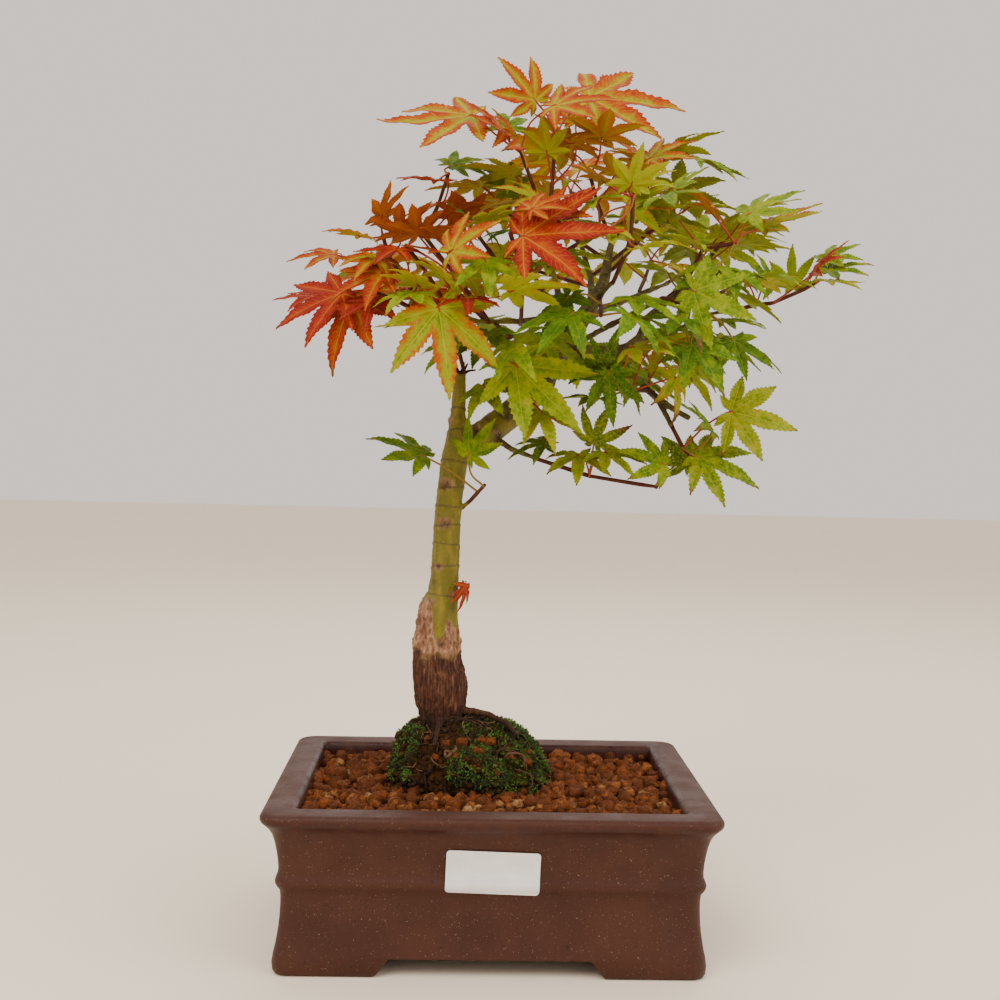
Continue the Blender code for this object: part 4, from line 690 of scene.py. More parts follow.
def root_bark():
    recipe = Recipe("root_bark")
    colour = recipe.ramp(recipe.attribute("tone"), (
        (0.0, (0.014, 0.005, 0.003)), (0.5, (0.042, 0.017, 0.008)), (1.0, (0.17, 0.090, 0.042))))
    stain = recipe.span(recipe.noise(500.0, 4.0), 0.45, 0.65)
    colour = recipe.blend(recipe.math("MULTIPLY", stain, 0.6), colour, (0.04, 0.022, 0.012))
    relief = recipe.bump(recipe.noise(1500.0, 3.0), 0.5, 0.0002)
    return recipe.finish(colour, 0.85, relief, Specular_IOR_Level=0.2)


def young_shoot():
    """Shoots and leaf stalks: dark red wood, red stalks, and green ones on green leaves."""
    recipe = Recipe("young_shoot")
    colour = recipe.ramp(recipe.attribute("tone"), (
        (0.0, (0.055, 0.012, 0.006)), (0.35, (0.090, 0.014, 0.006)), (0.5, (0.36, 0.030, 0.015)),
        (0.75, (0.34, 0.085, 0.018)), (1.0, (0.18, 0.19, 0.015))))
    mottle = recipe.span(recipe.noise(420.0, 3.0), 0.35, 0.7)
    colour = recipe.blend(recipe.math("MULTIPLY", mottle, 0.3), colour, (0.17, 0.065, 0.018))
    relief = recipe.bump(recipe.noise(1600.0), 0.25, 0.00015)
    return recipe.finish(colour, 0.55, relief, Specular_IOR_Level=0.2)


def maple_leaf(settings):
    """Autumn blades: veins, warmer margins, mottling, flecks and dry tips."""
    recipe = Recipe("maple_leaf")
    tone = recipe.attribute("tone")
    along, aside, margin = recipe.parts(recipe.attribute("lobe", vector=True))
    border = recipe.math("MULTIPLY", margin, margin)
    warm = recipe.math("MULTIPLY", border, recipe.span(tone, 1.4, 3.0, 0.12, 0.8))
    tips = recipe.math("MULTIPLY", recipe.span(along, 0.45, 1.0), recipe.span(tone, 1.5, 3.0, 0.05, 0.5))
    mottle = recipe.span(recipe.noise(170.0, 5.0, 0.6), 0.25, 0.75, -0.55, 0.55)
    fine = recipe.span(recipe.noise(650.0, 3.0), 0.25, 0.75, -0.3, 0.3)
    here = recipe.math("ADD", recipe.math("ADD", tone, warm), recipe.math("ADD", tips, mottle))
    heart = recipe.math("MULTIPLY", recipe.span(aside, 0.075, 0.0), recipe.span(tone, 1.2, 2.8, 0.0, 0.75))
    here = recipe.math("SUBTRACT", recipe.math("ADD", here, fine), heart)
    here = recipe.math("MULTIPLY", here, 0.2)
    body = recipe.ramp(here, (
        (0.0, (0.010, 0.042, 0.001)), (0.2, (0.062, 0.150, 0.001)), (0.4, (0.25, 0.31, 0.001)),
        (0.6, (0.37, 0.070, 0.0)), (0.8, (0.30, 0.016, 0.002)), (1.0, (0.19, 0.004, 0.003))))
    slant = recipe.math("SUBTRACT", along, recipe.math("MULTIPLY", aside, 1.15))
    branching = recipe.math("MULTIPLY", slant, 15.0)
    branching = recipe.math("ADD", branching, recipe.span(recipe.noise(260.0, 2.0), 0.3, 0.7, -0.35, 0.35))
    to_side = recipe.math("ABSOLUTE", recipe.math("SUBTRACT", recipe.math("FRACT", branching), 0.5))
    side_vein = recipe.math("MULTIPLY", recipe.span(to_side, 0.02, 0.14, 0.42, 0.0),
                            recipe.span(margin, 0.55, 1.0, 1.0, 0.1))
    thin = recipe.span(along, 0.0, 1.0, 0.012, 0.004)
    midrib = recipe.span(aside, thin, recipe.math("MULTIPLY", thin, 0.25))
    vein = recipe.math("MAXIMUM", midrib, side_vein)
    bright = recipe.ramp(recipe.math("MULTIPLY", tone, 0.2), (
        (0.0, (0.085, 0.17, 0.012)), (0.2, (0.17, 0.26, 0.010)), (0.4, (0.42, 0.40, 0.004)),
        (0.6, (0.52, 0.36, 0.001)), (0.8, (0.52, 0.22, 0.004)), (1.0, (0.44, 0.070, 0.015))))
    colour = recipe.blend(recipe.math("MULTIPLY", vein, settings.vein_strength), body, bright)
    specks = recipe.span(recipe.noise(900.0, 2.0), 0.50, 0.60)
    flecks = recipe.math("MULTIPLY", recipe.attribute("fleck"), specks)
    colour = recipe.blend(recipe.math("MULTIPLY", flecks, 0.75), colour, (0.36, 0.36, 0.05))
    crisp = recipe.ramp(recipe.noise(500.0, 3.0), (
        (0.3, (0.045, 0.014, 0.007)), (0.55, (0.135, 0.045, 0.018)), (0.75, (0.28, 0.125, 0.05))))
    colour = recipe.blend(recipe.attribute("dry"), colour, crisp)
    # Undersides paler: partly their own paler colour, partly painted light shining through the blade from
    # behind.
    colour = recipe.blend(recipe.math("MULTIPLY", recipe.attribute("under"), 0.4), colour, bright)
    rough = recipe.span(recipe.noise(300.0), 0.3, 0.7, 0.58, 0.74)
    relief = recipe.bump(vein, 0.45, 0.00025)
    return recipe.finish(colour, rough, recipe.bump(recipe.noise(1300.0, 3.0), 0.25, 0.00015, relief),
                         Subsurface_Weight=settings.glow, Subsurface_Scale=0.0025, Specular_IOR_Level=0.14)


# Settings --------------------------------------------------------------------------------------

def length(title, note, default):
    return FloatProperty(name=title, description=note, default=default, unit="LENGTH", subtype="DISTANCE",
                         precision=5)


def colour(title, note, default):
    return FloatVectorProperty(name=title, description=note, default=default, size=3, subtype="COLOR",
                               min=0.0, max=1.0)


class PotSettings(bpy.types.PropertyGroup):
    clay: colour("Clay", "Body colour of the fired clay", (0.058, 0.0160, 0.0072))
    rim_clay: colour("Rim", "Colour of the clay on the rim", (0.056, 0.015, 0.007))
    flecks: FloatProperty(name="Flecks", description="Strength of the pale grains", default=0.5)
    bevel: length("Cut edges", "Rounding of the edges of the foot", 0.0006)


class SoilSettings(bpy.types.PropertyGroup):
    spacing: length("Spacing", "Least distance between the granules on top", 0.0031)
    smallest: length("Smallest", "Width of the smallest granule on top", 0.0022)
    largest: length("Largest", "Width of the largest granule on top", 0.0061)
    seed: IntProperty(name="Seed", description="Seed of the granules' places", default=4)


class RootSettings(bpy.types.PropertyGroup):
    count: IntProperty(name="Fine roots", description="Number of fine roots on the ball", default=150)
    thickest: length("Thickest", "Radius of the thickest fine root", 0.00085)
    seed: IntProperty(name="Seed", description="Seed of the roots' ways", default=11)


class MossSettings(bpy.types.PropertyGroup):
    spacing: length("Spacing", "Least distance between the tufts", 0.0009)
    tuft: length("Tuft", "Height of the largest tuft", 0.0020)
    cover: FloatProperty(name="Cover", description="Above 0 more of a cushion is green", default=0.34)


class WoodSettings(bpy.types.PropertyGroup):
    detail: length("Detail", "Size of the bark's mesh", 0.00053)
    green_bark: colour("Green bark", "Colour of the smooth bark", (0.142, 0.122, 0.006))


class LeafSettings(bpy.types.PropertyGroup):
    thickness: length("Thickness", "Thickness of a blade", 0.00022)
    vein_strength: FloatProperty(name="Veins", description="How much the veins stand out", default=0.75)
    glow: FloatProperty(name="Glow", description="Light scattered inside a blade", default=0.06)
    seed: IntProperty(name="Seed", description="Seed of the blades' small differences", default=3)


class StageSettings(bpy.types.PropertyGroup):
    floor: colour("Floor", "Colour of the floor", (1.0, 0.87, 0.70))
    key: FloatProperty(name="Key light", description="Power of the main light", default=11.0,
                       subtype="POWER", unit="POWER")


SETTINGS = {
    "bonsai_pot": PotSettings, "bonsai_soil": SoilSettings, "bonsai_roots": RootSettings,
    "bonsai_moss": MossSettings, "bonsai_wood": WoodSettings, "bonsai_leaves": LeafSettings,
    "bonsai_stage": StageSettings,
}


# Pot ---------------------------------------------------------------------------------------------

def rounded_loop(half_x, half_y, radius, z, steps=9):
    loop = []
    for quarter, (sx, sy) in enumerate(((1, 1), (-1, 1), (-1, -1), (1, -1))):
        for step in range(steps):
            angle = math.radians(90.0) * (quarter + step / (steps - 1))
            loop.append(place(sx * (half_x - radius) + radius * math.cos(angle),
                              sy * (half_y - radius) + radius * math.sin(angle), z))
    return loop


def pot_half_size(inset):
    size = (pot_high - pot_low) / (2.0 * MM)
    return size.x - inset, size.y - inset


def lofted(name, rings):
    """A closed solid through rings of points, with flat ends."""
    work = bmesh.new()
    rows = [[work.verts.new(point) for point in ring] for ring in rings]
    for lower, upper in zip(rows, rows[1:]):
        for i, vertex in enumerate(lower):
            after = (i + 1) % len(lower)
            work.faces.new((vertex, lower[after], upper[after], upper[i]))
    work.faces.new(list(reversed(rows[0])))
    work.faces.new(rows[-1])
    bmesh.ops.recalc_face_normals(work, faces=work.faces)
    return mesh_from(name, work)


def cut(obj, mesh):
    """Take a closed mesh away from an object."""
    tool = add_object("cutter", mesh)
    away = obj.modifiers.new("cut", "BOOLEAN")
    away.operation = "DIFFERENCE"
    away.solver = "EXACT"
    away.object = tool
    settle(obj)
    bpy.data.objects.remove(tool, do_unlink=True)


def slot_cutter(low, high, along_x):
    """A prism with slanted ends that opens the foot on two opposite sides."""
    slope = (low - high) / SLOT_HEIGHT
    outline = ((-low - slope, -1.0), (low + slope, -1.0), (high, SLOT_HEIGHT), (-high, SLOT_HEIGHT))
    rings = []
    for end in (-200.0, 200.0):
        rings.append([place(end, u, z) if along_x else place(u, end, z) for u, z in outline])
    return lofted("slot", rings)


def drain_cutter(x):
    rings = []
    for z in (RECESS_HEIGHT - 3.0, 17.0):
        turns = [2.0 * math.pi * i / 40 for i in range(40)]
        rings.append([place(x + DRAIN_RADIUS * math.cos(a), DRAIN_RADIUS * math.sin(a), z) for a in turns])
    return lofted("drain", rings)


class BONSAI_OT_pot(bpy.types.Operator):
    """Pot with its moulded profile, feet, recess and drain holes"""
    bl_idname = "bonsai.pot"
    bl_label = "Pot"

    def execute(self, context):
        settings = context.scene.bonsai_pot
        rings = []
        for inset, z in OUTER_PROFILE + INNER_PROFILE:
            rings.append(rounded_loop(*pot_half_size(inset), max(8.0 - 0.45 * inset, 2.5), z))
        obj = add_object("stoneware_pot", lofted("pot", rings))
        recess = [rounded_loop(*pot_half_size(RECESS_INSET), 8.0, z) for z in (-1.0, RECESS_HEIGHT)]
        cut(obj, lofted("recess", recess))
        for low, high, along_x in FOOT_SLOTS:
            cut(obj, slot_cutter(low, high, along_x))
        for x in (-DRAIN_X, DRAIN_X):
            cut(obj, drain_cutter(x))
        bevel = obj.modifiers.new("bevel", "BEVEL")
        bevel.width = settings.bevel
        bevel.segments = 2
        bevel.limit_method = "ANGLE"
        bevel.angle_limit = math.radians(50.0)
        settle(obj)
        points = coordinates(obj.data)
        half_x, half_y = pot_half_size(11.5)
        apart_x = np.abs(points[:, 0] - POT_CENTRE.x) / MM
        apart_y = np.abs(points[:, 1] - POT_CENTRE.y) / MM
        within = (apart_x < half_x) & (apart_y < half_y) & (points[:, 2] > 0.05)
        heights = points[:, 2] / MM
        lip = (points[:, 1] < POT_CENTRE.y) & (apart_y > half_y) & (heights > 57.0) & (heights < 62.0)
        write_attribute(obj.data, "inside", np.maximum(within, 0.75 * lip))
        smooth_shade(obj.data, 35.0)
        set_material(obj, fired_clay(settings))
        finish_piece(obj, SLOT_OF["pot"], "pot")
        return {"FINISHED"}


class BONSAI_OT_sticker(bpy.types.Operator):
    """Blank sticker that follows the front of the pot"""
    bl_idname = "bonsai.sticker"
    bl_label = "Sticker"

    def execute(self, context):
        obj = add_object("blank_sticker", mesh_from("sticker", self.sheet(merged_copy("pot_sticker"))))
        bevel = obj.modifiers.new("bevel", "BEVEL")
        bevel.width = 0.0001
        bevel.segments = 1
        bevel.limit_method = "ANGLE"
        bevel.angle_limit = math.radians(50.0)
        settle(obj)
        smooth_shade(obj.data, 40.0)
        set_material(obj, blank_paper())
        finish_piece(obj, SLOT_OF["pot_sticker"], "pot_sticker")
        return {"FINISHED"}

    @staticmethod
    def sheet(source):
        """A sheet with round corners whose faces follow those of the plain sticker."""
        tree = BVHTree.FromBMesh(source)
        heights = [vertex.co.z for vertex in source.verts]
        low, high = min(heights) + 0.7 * MM, max(heights) - 0.7 * MM
        wide, tall = (0.5 * size for size in STICKER_SIZE)
        rows = []
        for turn in np.linspace(0.0, 0.5 * math.pi, 6):
            reach = wide - STICKER_CORNER * (1.0 - math.sin(turn))
            rows.append((-tall + STICKER_CORNER * (1.0 - math.cos(turn)), reach))
        straight = tall - STICKER_CORNER
        rows += [(height, wide) for height in np.linspace(-straight, straight, 15)[1:-1]]
        rows += [(-height, reach) for height, reach in reversed(rows[:6])]
        middle = place(STICKER_PLACE[0], 0.0, STICKER_PLACE[1])
        columns = 11
        work = bmesh.new()
        sides = ([], [])
        for height, reach in rows:
            for column in np.linspace(-1.0, 1.0, columns):
                x = (column * reach * math.cos(STICKER_TILT) - height * math.sin(STICKER_TILT)) * MM
                z = (column * reach * math.sin(STICKER_TILT) + height * math.cos(STICKER_TILT)) * MM
                level = min(max(middle.z + z, low), high)
                start = Vector((middle.x, -1.0, level))
                for side in sides:
                    hit = tree.ray_cast(start, Vector((0.0, 1.0, 0.0)))[0]
                    side.append(work.verts.new((middle.x + x, hit.y, middle.z + z)))
                    start = hit + Vector((0.0, 0.02 * MM, 0.0))
        count = len(rows)
        grid = np.arange(count * columns).reshape(count, columns)
        for row in range(count - 1):
            for column in range(columns - 1):
                ring = (grid[row, column], grid[row, column + 1],
                        grid[row + 1, column + 1], grid[row + 1, column])
                for side in sides:
                    work.faces.new([side[corner] for corner in ring])
        edge = list(grid[0]) + list(grid[1:, -1]) + list(grid[-1, -2::-1]) + list(grid[-2:0:-1, 0])
        for one, two in zip(edge, edge[1:] + edge[:1]):
            work.faces.new((sides[0][one], sides[0][two], sides[1][two], sides[1][one]))
        bmesh.ops.recalc_face_normals(work, faces=work.faces[:])
        source.free()
        return work


class BONSAI_OT_drainage(bpy.types.Operator):
    """Finishes of the drain meshes and their wires"""
    bl_idname = "bonsai.drainage"
    bl_label = "Drainage"

    def execute(self, context):
        plastic, wire = moulded_plastic(), dull_wire()
        for number in (1, 2):
            set_material(NODES[f"drain_mesh_{number}"], plastic)
            set_material(NODES[f"drain_wire_{number}"], wire)
        return {"FINISHED"}


# Soil, root ball and moss ---------------------------------------------------------------------------

def granule_shape():
    """A rounded block one unit wide, of two dozen faces."""
    work = bmesh.new()
    bmesh.ops.create_cube(work, size=1.0)
    bmesh.ops.subdivide_edges(work, edges=work.edges[:], cuts=1, use_grid_fill=True)
    for vertex in work.verts:
        vertex.co = vertex.co.lerp(vertex.co.normalized() * 0.5, 0.6)
    obj = add_object("granule", mesh_from("granule", work))
    obj.data.shade_smooth()
    return obj


def tuft_shape():
    """A tuft one unit high: narrow pointed leaves that lean outwards."""
    work = bmesh.new()
    for number in range(6):
        turn = Matrix.Rotation(number * 2.4, 3, "Z")
        lean = 0.12 + 0.09 * (number % 4)
        tall = 0.62 + 0.12 * (number % 3)
        foot = ((0.04, -0.10, -0.25), (0.04, 0.10, -0.25), (0.13, 0.0, -0.25))
        waist = ((0.05, -0.12, tall * 0.45), (0.05, 0.12, tall * 0.45), (0.12, 0.0, tall * 0.45))
        base = [turn @ Vector(point) for point in foot]
        middle = [turn @ (Vector(point) + Vector((lean * 0.4, 0.0, 0.0))) for point in waist]
        tip = work.verts.new(turn @ Vector((0.08 + lean, 0.0, tall)))
        low = [work.verts.new(point) for point in base]
        high = [work.verts.new(point) for point in middle]
        work.faces.new(low)
        for i in range(3):
            after = (i + 1) % 3
            work.faces.new((low[i], high[i], high[after], low[after]))
            work.faces.new((high[i], tip, high[after]))
    bmesh.ops.recalc_face_normals(work, faces=work.faces)
    return add_object("tuft", mesh_from("tuft", work))


class BONSAI_OT_granules(bpy.types.Operator):
    """Bed of baked clay granules in two layers"""
    bl_idname = "bonsai.granules"
    bl_label = "Granules"

    def execute(self, context):
        settings = context.scene.bonsai_soil
        work = merged_copy("soil")
        for vertex in work.verts:
            if vertex.co.z > 50.0 * MM:
                vertex.co.z -= 1.6 * MM
        obj = add_object("clay_granules", mesh_from("soil", work))
        points, facing = coordinates(obj.data), normals(obj.data)
        write_attribute(obj.data, "cover", ((facing[:, 2] > 0.2) & (points[:, 2] > 50.0 * MM)).astype(float))
        write_attribute(obj.data, "grain", np.full(len(points), 0.05))
        grain = baked_grain()
        set_material(obj, grain)
        shape = granule_shape()
        set_material(shape, grain)
        tree = scatter_tree()
        apply_tree(obj, tree, Shape=shape, Finish=grain, Cover="cover", Spacing=0.0024, Smallest=0.0022,
                   Largest=0.0042, Sink=-0.0003, Upright=0.0, Warp=0.0030, WarpSize=480.0, Seed=settings.seed)
        apply_tree(obj, tree, Shape=shape, Finish=grain, Cover="cover", Spacing=settings.spacing,
                   Smallest=settings.smallest, Largest=settings.largest, Sink=0.0010, Upright=0.0,
                   Warp=0.0046, WarpSize=380.0, Seed=settings.seed + 1)
        settle(obj)
        bpy.data.objects.remove(shape, do_unlink=True)
        finish_piece(obj, SLOT_OF["soil"], "soil")
        return {"FINISHED"}


def wander(surface, start, heading, steps, stride, radius, tone, draws):
    """A root that creeps over a surface, turning a little at each step and getting thinner."""
    line = []
    lift_of_root = draws.uniform(0.3, 2.4) * MM
    point = Vector(start)
    for step in range(steps):
        near, normal, _, _ = surface.find_nearest(point)
        share = step / (steps - 1)
        thick = radius * (1.0 - 0.65 * share)
        lift = thick * 0.35 + lift_of_root if 0 < step < steps - 1 else -thick * 1.5
        line.append((near + normal * lift, thick, tone))
        heading = heading + Vector(draws.normal(0.0, 0.6, 3)) + Vector((0.0, 0.0, -0.10))
        heading = (heading - normal * heading.dot(normal)).normalized()
        point = near + heading * stride
    return eased_line(line, 3)


class BONSAI_OT_root_ball(bpy.types.Operator):
    """Root ball with crumbs, set stones and fine roots"""
    bl_idname = "bonsai.root_ball"
    bl_label = "Root ball"

    def execute(self, context):
        settings = context.scene.bonsai_roots
        obj = remeshed("root_ball_surface", "root_ball", 1.0 * MM, 3)
        mesh = obj.data
        points, facing = coordinates(mesh), normals(mesh)
        rough = lumps(points, 6.0 * MM, 4, 1.0) * 1.5 + lumps(points, 2.2 * MM, 2, 5.0) * 0.6
        free = eased(points[:, 2], 50.0 * MM, 58.0 * MM)
        points += facing * (rough * free * MM)[:, None]
        write_coordinates(mesh, points)
        across = (points[:, 0] - POT_CENTRE.x) / MM
        upper = 0.4 * (points[:, 2] / MM - 75.0)
        mossy = eased(across + 12.0 * lumps(points, 12.0 * MM, 2, 3.0) + upper, -12.0, 2.0)
        write_attribute(mesh, "film", mossy)
        crumbly = (free > 0.5) & (lumps(points, 5.0 * MM, 2, 8.0) > -0.15)
        write_attribute(mesh, "crumbs", crumbly.astype(float))
        tufted = (free > 0.5) & (mossy * (1.0 + 1.4 * lumps(points, 5.0 * MM, 2, 9.0)) > 0.8)
        write_attribute(mesh, "tufts", tufted.astype(float))
        write_attribute(mesh, "grain", np.full(len(points), 0.1))
        smooth_shade(mesh, 60.0)
        soil, grain, moss = dark_soil(), baked_grain(), moss_green()
        set_material(obj, soil)
        corners = [tuple(face.vertices) for face in mesh.polygons]
        surface = BVHTree.FromPolygons([tuple(point) for point in points], corners)
        draws = np.random.default_rng(settings.seed)
        lines = []
        crown = place(-19.0, 0.0, 88.0)
        for number in range(settings.count):
            turn = number * GOLDEN_TURN
            outwards = Vector((math.cos(turn), math.sin(turn), 0.0))
            low = 0.0 if number % 2 else draws.uniform(4.0, 24.0)
            start = crown + outwards * (draws.uniform(4.0, 14.0) + low) * MM - UP * (low * 0.9 * MM)
            radius = settings.thickest * (1.0 if number % 13 == 0 else draws.uniform(0.18, 0.42))
            lines.append(wander(surface, start, outwards, int(draws.integers(7, 15)), 2.6 * MM, radius,
                                float(draws.uniform(0.0, 1.0)), draws))
        threads = line_object("root_lines", lines)
        shape, tuft = granule_shape(), tuft_shape()
        set_material(shape, soil)
        set_material(tuft, moss)
        scatter = scatter_tree()
        apply_tree(obj, scatter, Shape=shape, Finish=soil, Cover="crumbs", Spacing=0.0017, Smallest=0.0008,
                   Largest=0.0026, Sink=0.0, Upright=0.0, Warp=0.0012, WarpSize=600.0, Seed=2)
        apply_tree(obj, scatter, Shape=tuft, Finish=moss, Cover="tufts", Spacing=0.00135, Smallest=0.0010,
                   Largest=0.0021, Sink=0.0, Upright=1.0, Warp=0.0006, WarpSize=500.0, Seed=5)
        apply_tree(obj, stem_tree(), Lines=threads, Finish=root_bark(), Sides=7)
        settle(obj)
        for tool in (threads, shape, tuft):
            bpy.data.objects.remove(tool, do_unlink=True)
        finish_piece(obj, SLOT_OF["root_ball"], "root_ball")
        self.set_stones(surface, grain)
        return {"FINISHED"}

    @staticmethod
    def set_stones(surface, grain):
        """Granules that stick in the ball's side."""
        work = bmesh.new()
        for x, y, z, width in BALL_STONES:
            near, normal, _, _ = surface.find_nearest(place(x, y, z))
            made = bmesh.ops.create_icosphere(work, subdivisions=3, radius=width * 0.5 * MM)
            for vertex in made["verts"]:
                bulge = 1.0 + 0.55 * noise.fractal(vertex.co * 420.0 + near * 900.0, 0.6, 2.0, 3)
                vertex.co = vertex.co * bulge + near - normal * (0.12 * width * MM)
        obj = add_object("set_stones", mesh_from("set_stones", work))
        shades = np.array([0.5 + 0.4 * noise.noise(Vector(point) * 60.0) for point in coordinates(obj.data)])
        write_attribute(obj.data, "grain", shades)
        obj.data.shade_smooth()
        set_material(obj, grain)
        finish_piece(obj, SLOT_OF["soil"])


class BONSAI_OT_moss(bpy.types.Operator):
    """Moss cushions covered with tufts"""
    bl_idname = "bonsai.moss"
    bl_label = "Moss"

    def execute(self, context):
        settings = context.scene.bonsai_moss
        moss, soil = moss_green(), dark_soil()
        tuft, crumb = tuft_shape(), granule_shape()
        set_material(tuft, moss)
        set_material(crumb, soil)
        scatter = scatter_tree()
        low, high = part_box("root_ball")
        axis = (low + high) / 2.0
        for number, node in enumerate(sorted(name for name in NODES if name.startswith("moss_"))):
            obj = remeshed(node.replace("moss", "moss_cushion"), node, 0.6 * MM, 4)
            mesh = obj.data
            points, facing = coordinates(mesh), normals(mesh)
            points += facing * ((0.35 + 0.8 * lumps(points, 3.0 * MM, 3, number)) * MM)[:, None]
            write_coordinates(mesh, points)
            outwards = points - np.array(axis)
            outer = np.einsum("ij,ij->i", outwards, facing) > 0.25 * np.linalg.norm(outwards, axis=1)
            thick = lumps(points, 5.5 * MM, 3, 30.0) + settings.cover + 0.012 * (points[:, 0] - axis.x) / MM
            write_attribute(mesh, "tufts", (outer & (thick > 0.0)).astype(float))
            write_attribute(mesh, "crumbs", (outer & (thick < 0.12)).astype(float))
            write_attribute(mesh, "film", eased(thick, -0.25, 0.1))
            write_attribute(mesh, "grain", np.full(len(points), 0.05))
            mesh.shade_smooth()
            set_material(obj, soil)
            apply_tree(obj, scatter, Shape=crumb, Finish=soil, Cover="crumbs", Spacing=0.0016,
                       Smallest=0.0009, Largest=0.0032, Sink=0.0, Upright=0.0, Warp=0.0012,
                       WarpSize=600.0, Seed=40 + number)
            apply_tree(obj, scatter, Shape=tuft, Finish=moss, Cover="tufts", Spacing=settings.spacing,
                       Smallest=settings.tuft * 0.45, Largest=settings.tuft, Sink=0.0, Upright=1.0,
                       Warp=0.0008, WarpSize=500.0, Seed=20 + number)
            settle(obj)
            finish_piece(obj, SLOT_OF[node], node)
        bpy.data.objects.remove(tuft, do_unlink=True)
        bpy.data.objects.remove(crumb, do_unlink=True)
        return {"FINISHED"}


# Wood ------------------------------------------------------------------------------------------------

class BONSAI_OT_wood(bpy.types.Operator):
    """Trunk, limbs and large roots with their bark"""
    bl_idname = "bonsai.wood"
    bl_label = "Wood"

    def execute(self, context):
        settings = context.scene.bonsai_wood
        obj = remeshed("bark_and_branches", "trunk_and_branches", settings.detail, 6)
        mesh = obj.data
        points, facing = coordinates(mesh), normals(mesh)
        local = (points - np.array(POT_CENTRE)) / MM
        x, y, z = local.T
        on_trunk = 1.0 - eased(np.hypot(x + 21.0, y), 13.0, 15.5)
        wavy = lumps(points, 7.0 * MM, 2, 2.0)
        lift = 0.20 * lumps(points, 4.0 * MM, 3, 4.0) + 0.10 * lumps(points, 1.2 * MM, 2, 6.0)
        low = (1.0 - eased(z + 3.0 * wavy, SCAR_FOOT, SCAR_FOOT + 3.0)) * on_trunk
        left, middle, right = SCAR_TOPS
        scar_top = middle + (left - middle) * eased(-x, 24.5, 27.0)
        scar_top = scar_top + (right - middle) * eased(x, -22.0, -20.0)
        corky = (1.0 - low) * (1.0 - eased(z + 3.0 * wavy, scar_top - 0.8, scar_top + 0.8)) * on_trunk
        fibres = np.array([noise.fractal(Vector((px, py, pz * 0.13)), 0.6, 2.0, 3)
                           for px, py, pz in local])
        lift += 0.6 * fibres * low + (0.35 + 0.7 * lumps(points, 3.0 * MM, 3, 7.0) + 0.3 * fibres) * corky
        scars = np.zeros(len(points))
        for number, scar in enumerate(RING_SCARS):
            away = z - scar - 0.10 * (x + 21.0) * (1 if number % 2 else -1) - 0.5 * wavy
            ringed = on_trunk * (z > SCAR_TOPS[1] + 8.0)
            lift += (0.24 * np.exp(-(away / 0.8) ** 2) - 0.16 * np.exp(-((away - 1.0) / 0.35) ** 2)) * ringed
            scars += 0.7 * np.exp(-((away - 0.8) / 0.32) ** 2) * ringed
        halo = np.zeros(len(points))
        for px, py, pz, reach, depth in BARK_PITS:
            apart = np.sqrt(((x - px) / 1.35) ** 2 + ((y - py) / 1.35) ** 2 + (z - pz) ** 2)
            lift -= depth * np.exp(-(apart / reach) ** 2)
            halo += 0.9 * np.exp(-(apart / (1.35 * reach)) ** 4)
            if depth > 0.0:
                lift += 0.45 * depth * np.exp(-((apart - 1.5 * reach) / (0.5 * reach)) ** 2)
                scars += 0.95 * np.exp(-(apart / (0.62 * reach)) ** 2)
        nodes = np.sin(0.16 * (x + 0.7 * z)) ** 24
        lift += 0.18 * nodes * (1.0 - on_trunk)
        scars += 0.5 * nodes * (1.0 - on_trunk)
        write_coordinates(mesh, points + facing * (lift * MM)[:, None])
        write_attribute(mesh, "scar", np.clip(scars, 0.0, 1.0))
        write_attribute(mesh, "cork", np.clip(np.maximum(corky, halo), 0.0, 1.0))
        rooty = 1.0 - eased(z, 94.0, 97.0)
        write_attribute(mesh, "brown", np.clip(np.maximum(low, rooty), 0.0, 1.0))
        # Darker towards the bottom, from 97 mm down to 88 mm.
        write_attribute(mesh, "damp", eased(-z, -97.0, -88.0))
        write_attribute(mesh, "old", eased(lumps(points, 14.0 * MM, 2, 15.0) + 0.02 * (x + 2.0), -0.1, 0.5))
        mesh.shade_smooth()
        set_material(obj, maple_bark(settings))
        cut = place(*LEADER_CUT)
        twigs = []
        for number, end in enumerate(LEADER_TWIGS):
            bend = cut.lerp(place(*end), 0.55) + Vector((0.5 * (-1) ** number, 0.4, 0.8)) * MM
            course = [(cut, 1.3 * MM, 0.1), (bend, 0.6 * MM, 0.2), (place(*end), 0.35 * MM, 0.45)]
            twigs.append(eased_line(course, 5))
        threads = line_object("twig_lines", twigs)
        apply_tree(obj, stem_tree(), Lines=threads, Finish=root_bark(), Sides=7)
        settle(obj)
        bpy.data.objects.remove(threads, do_unlink=True)
        finish_piece(obj, SLOT_OF["trunk_and_branches"], "trunk_and_branches")
        return {"FINISHED"}


# Leaves --------------------------------------------------------------------------------------------

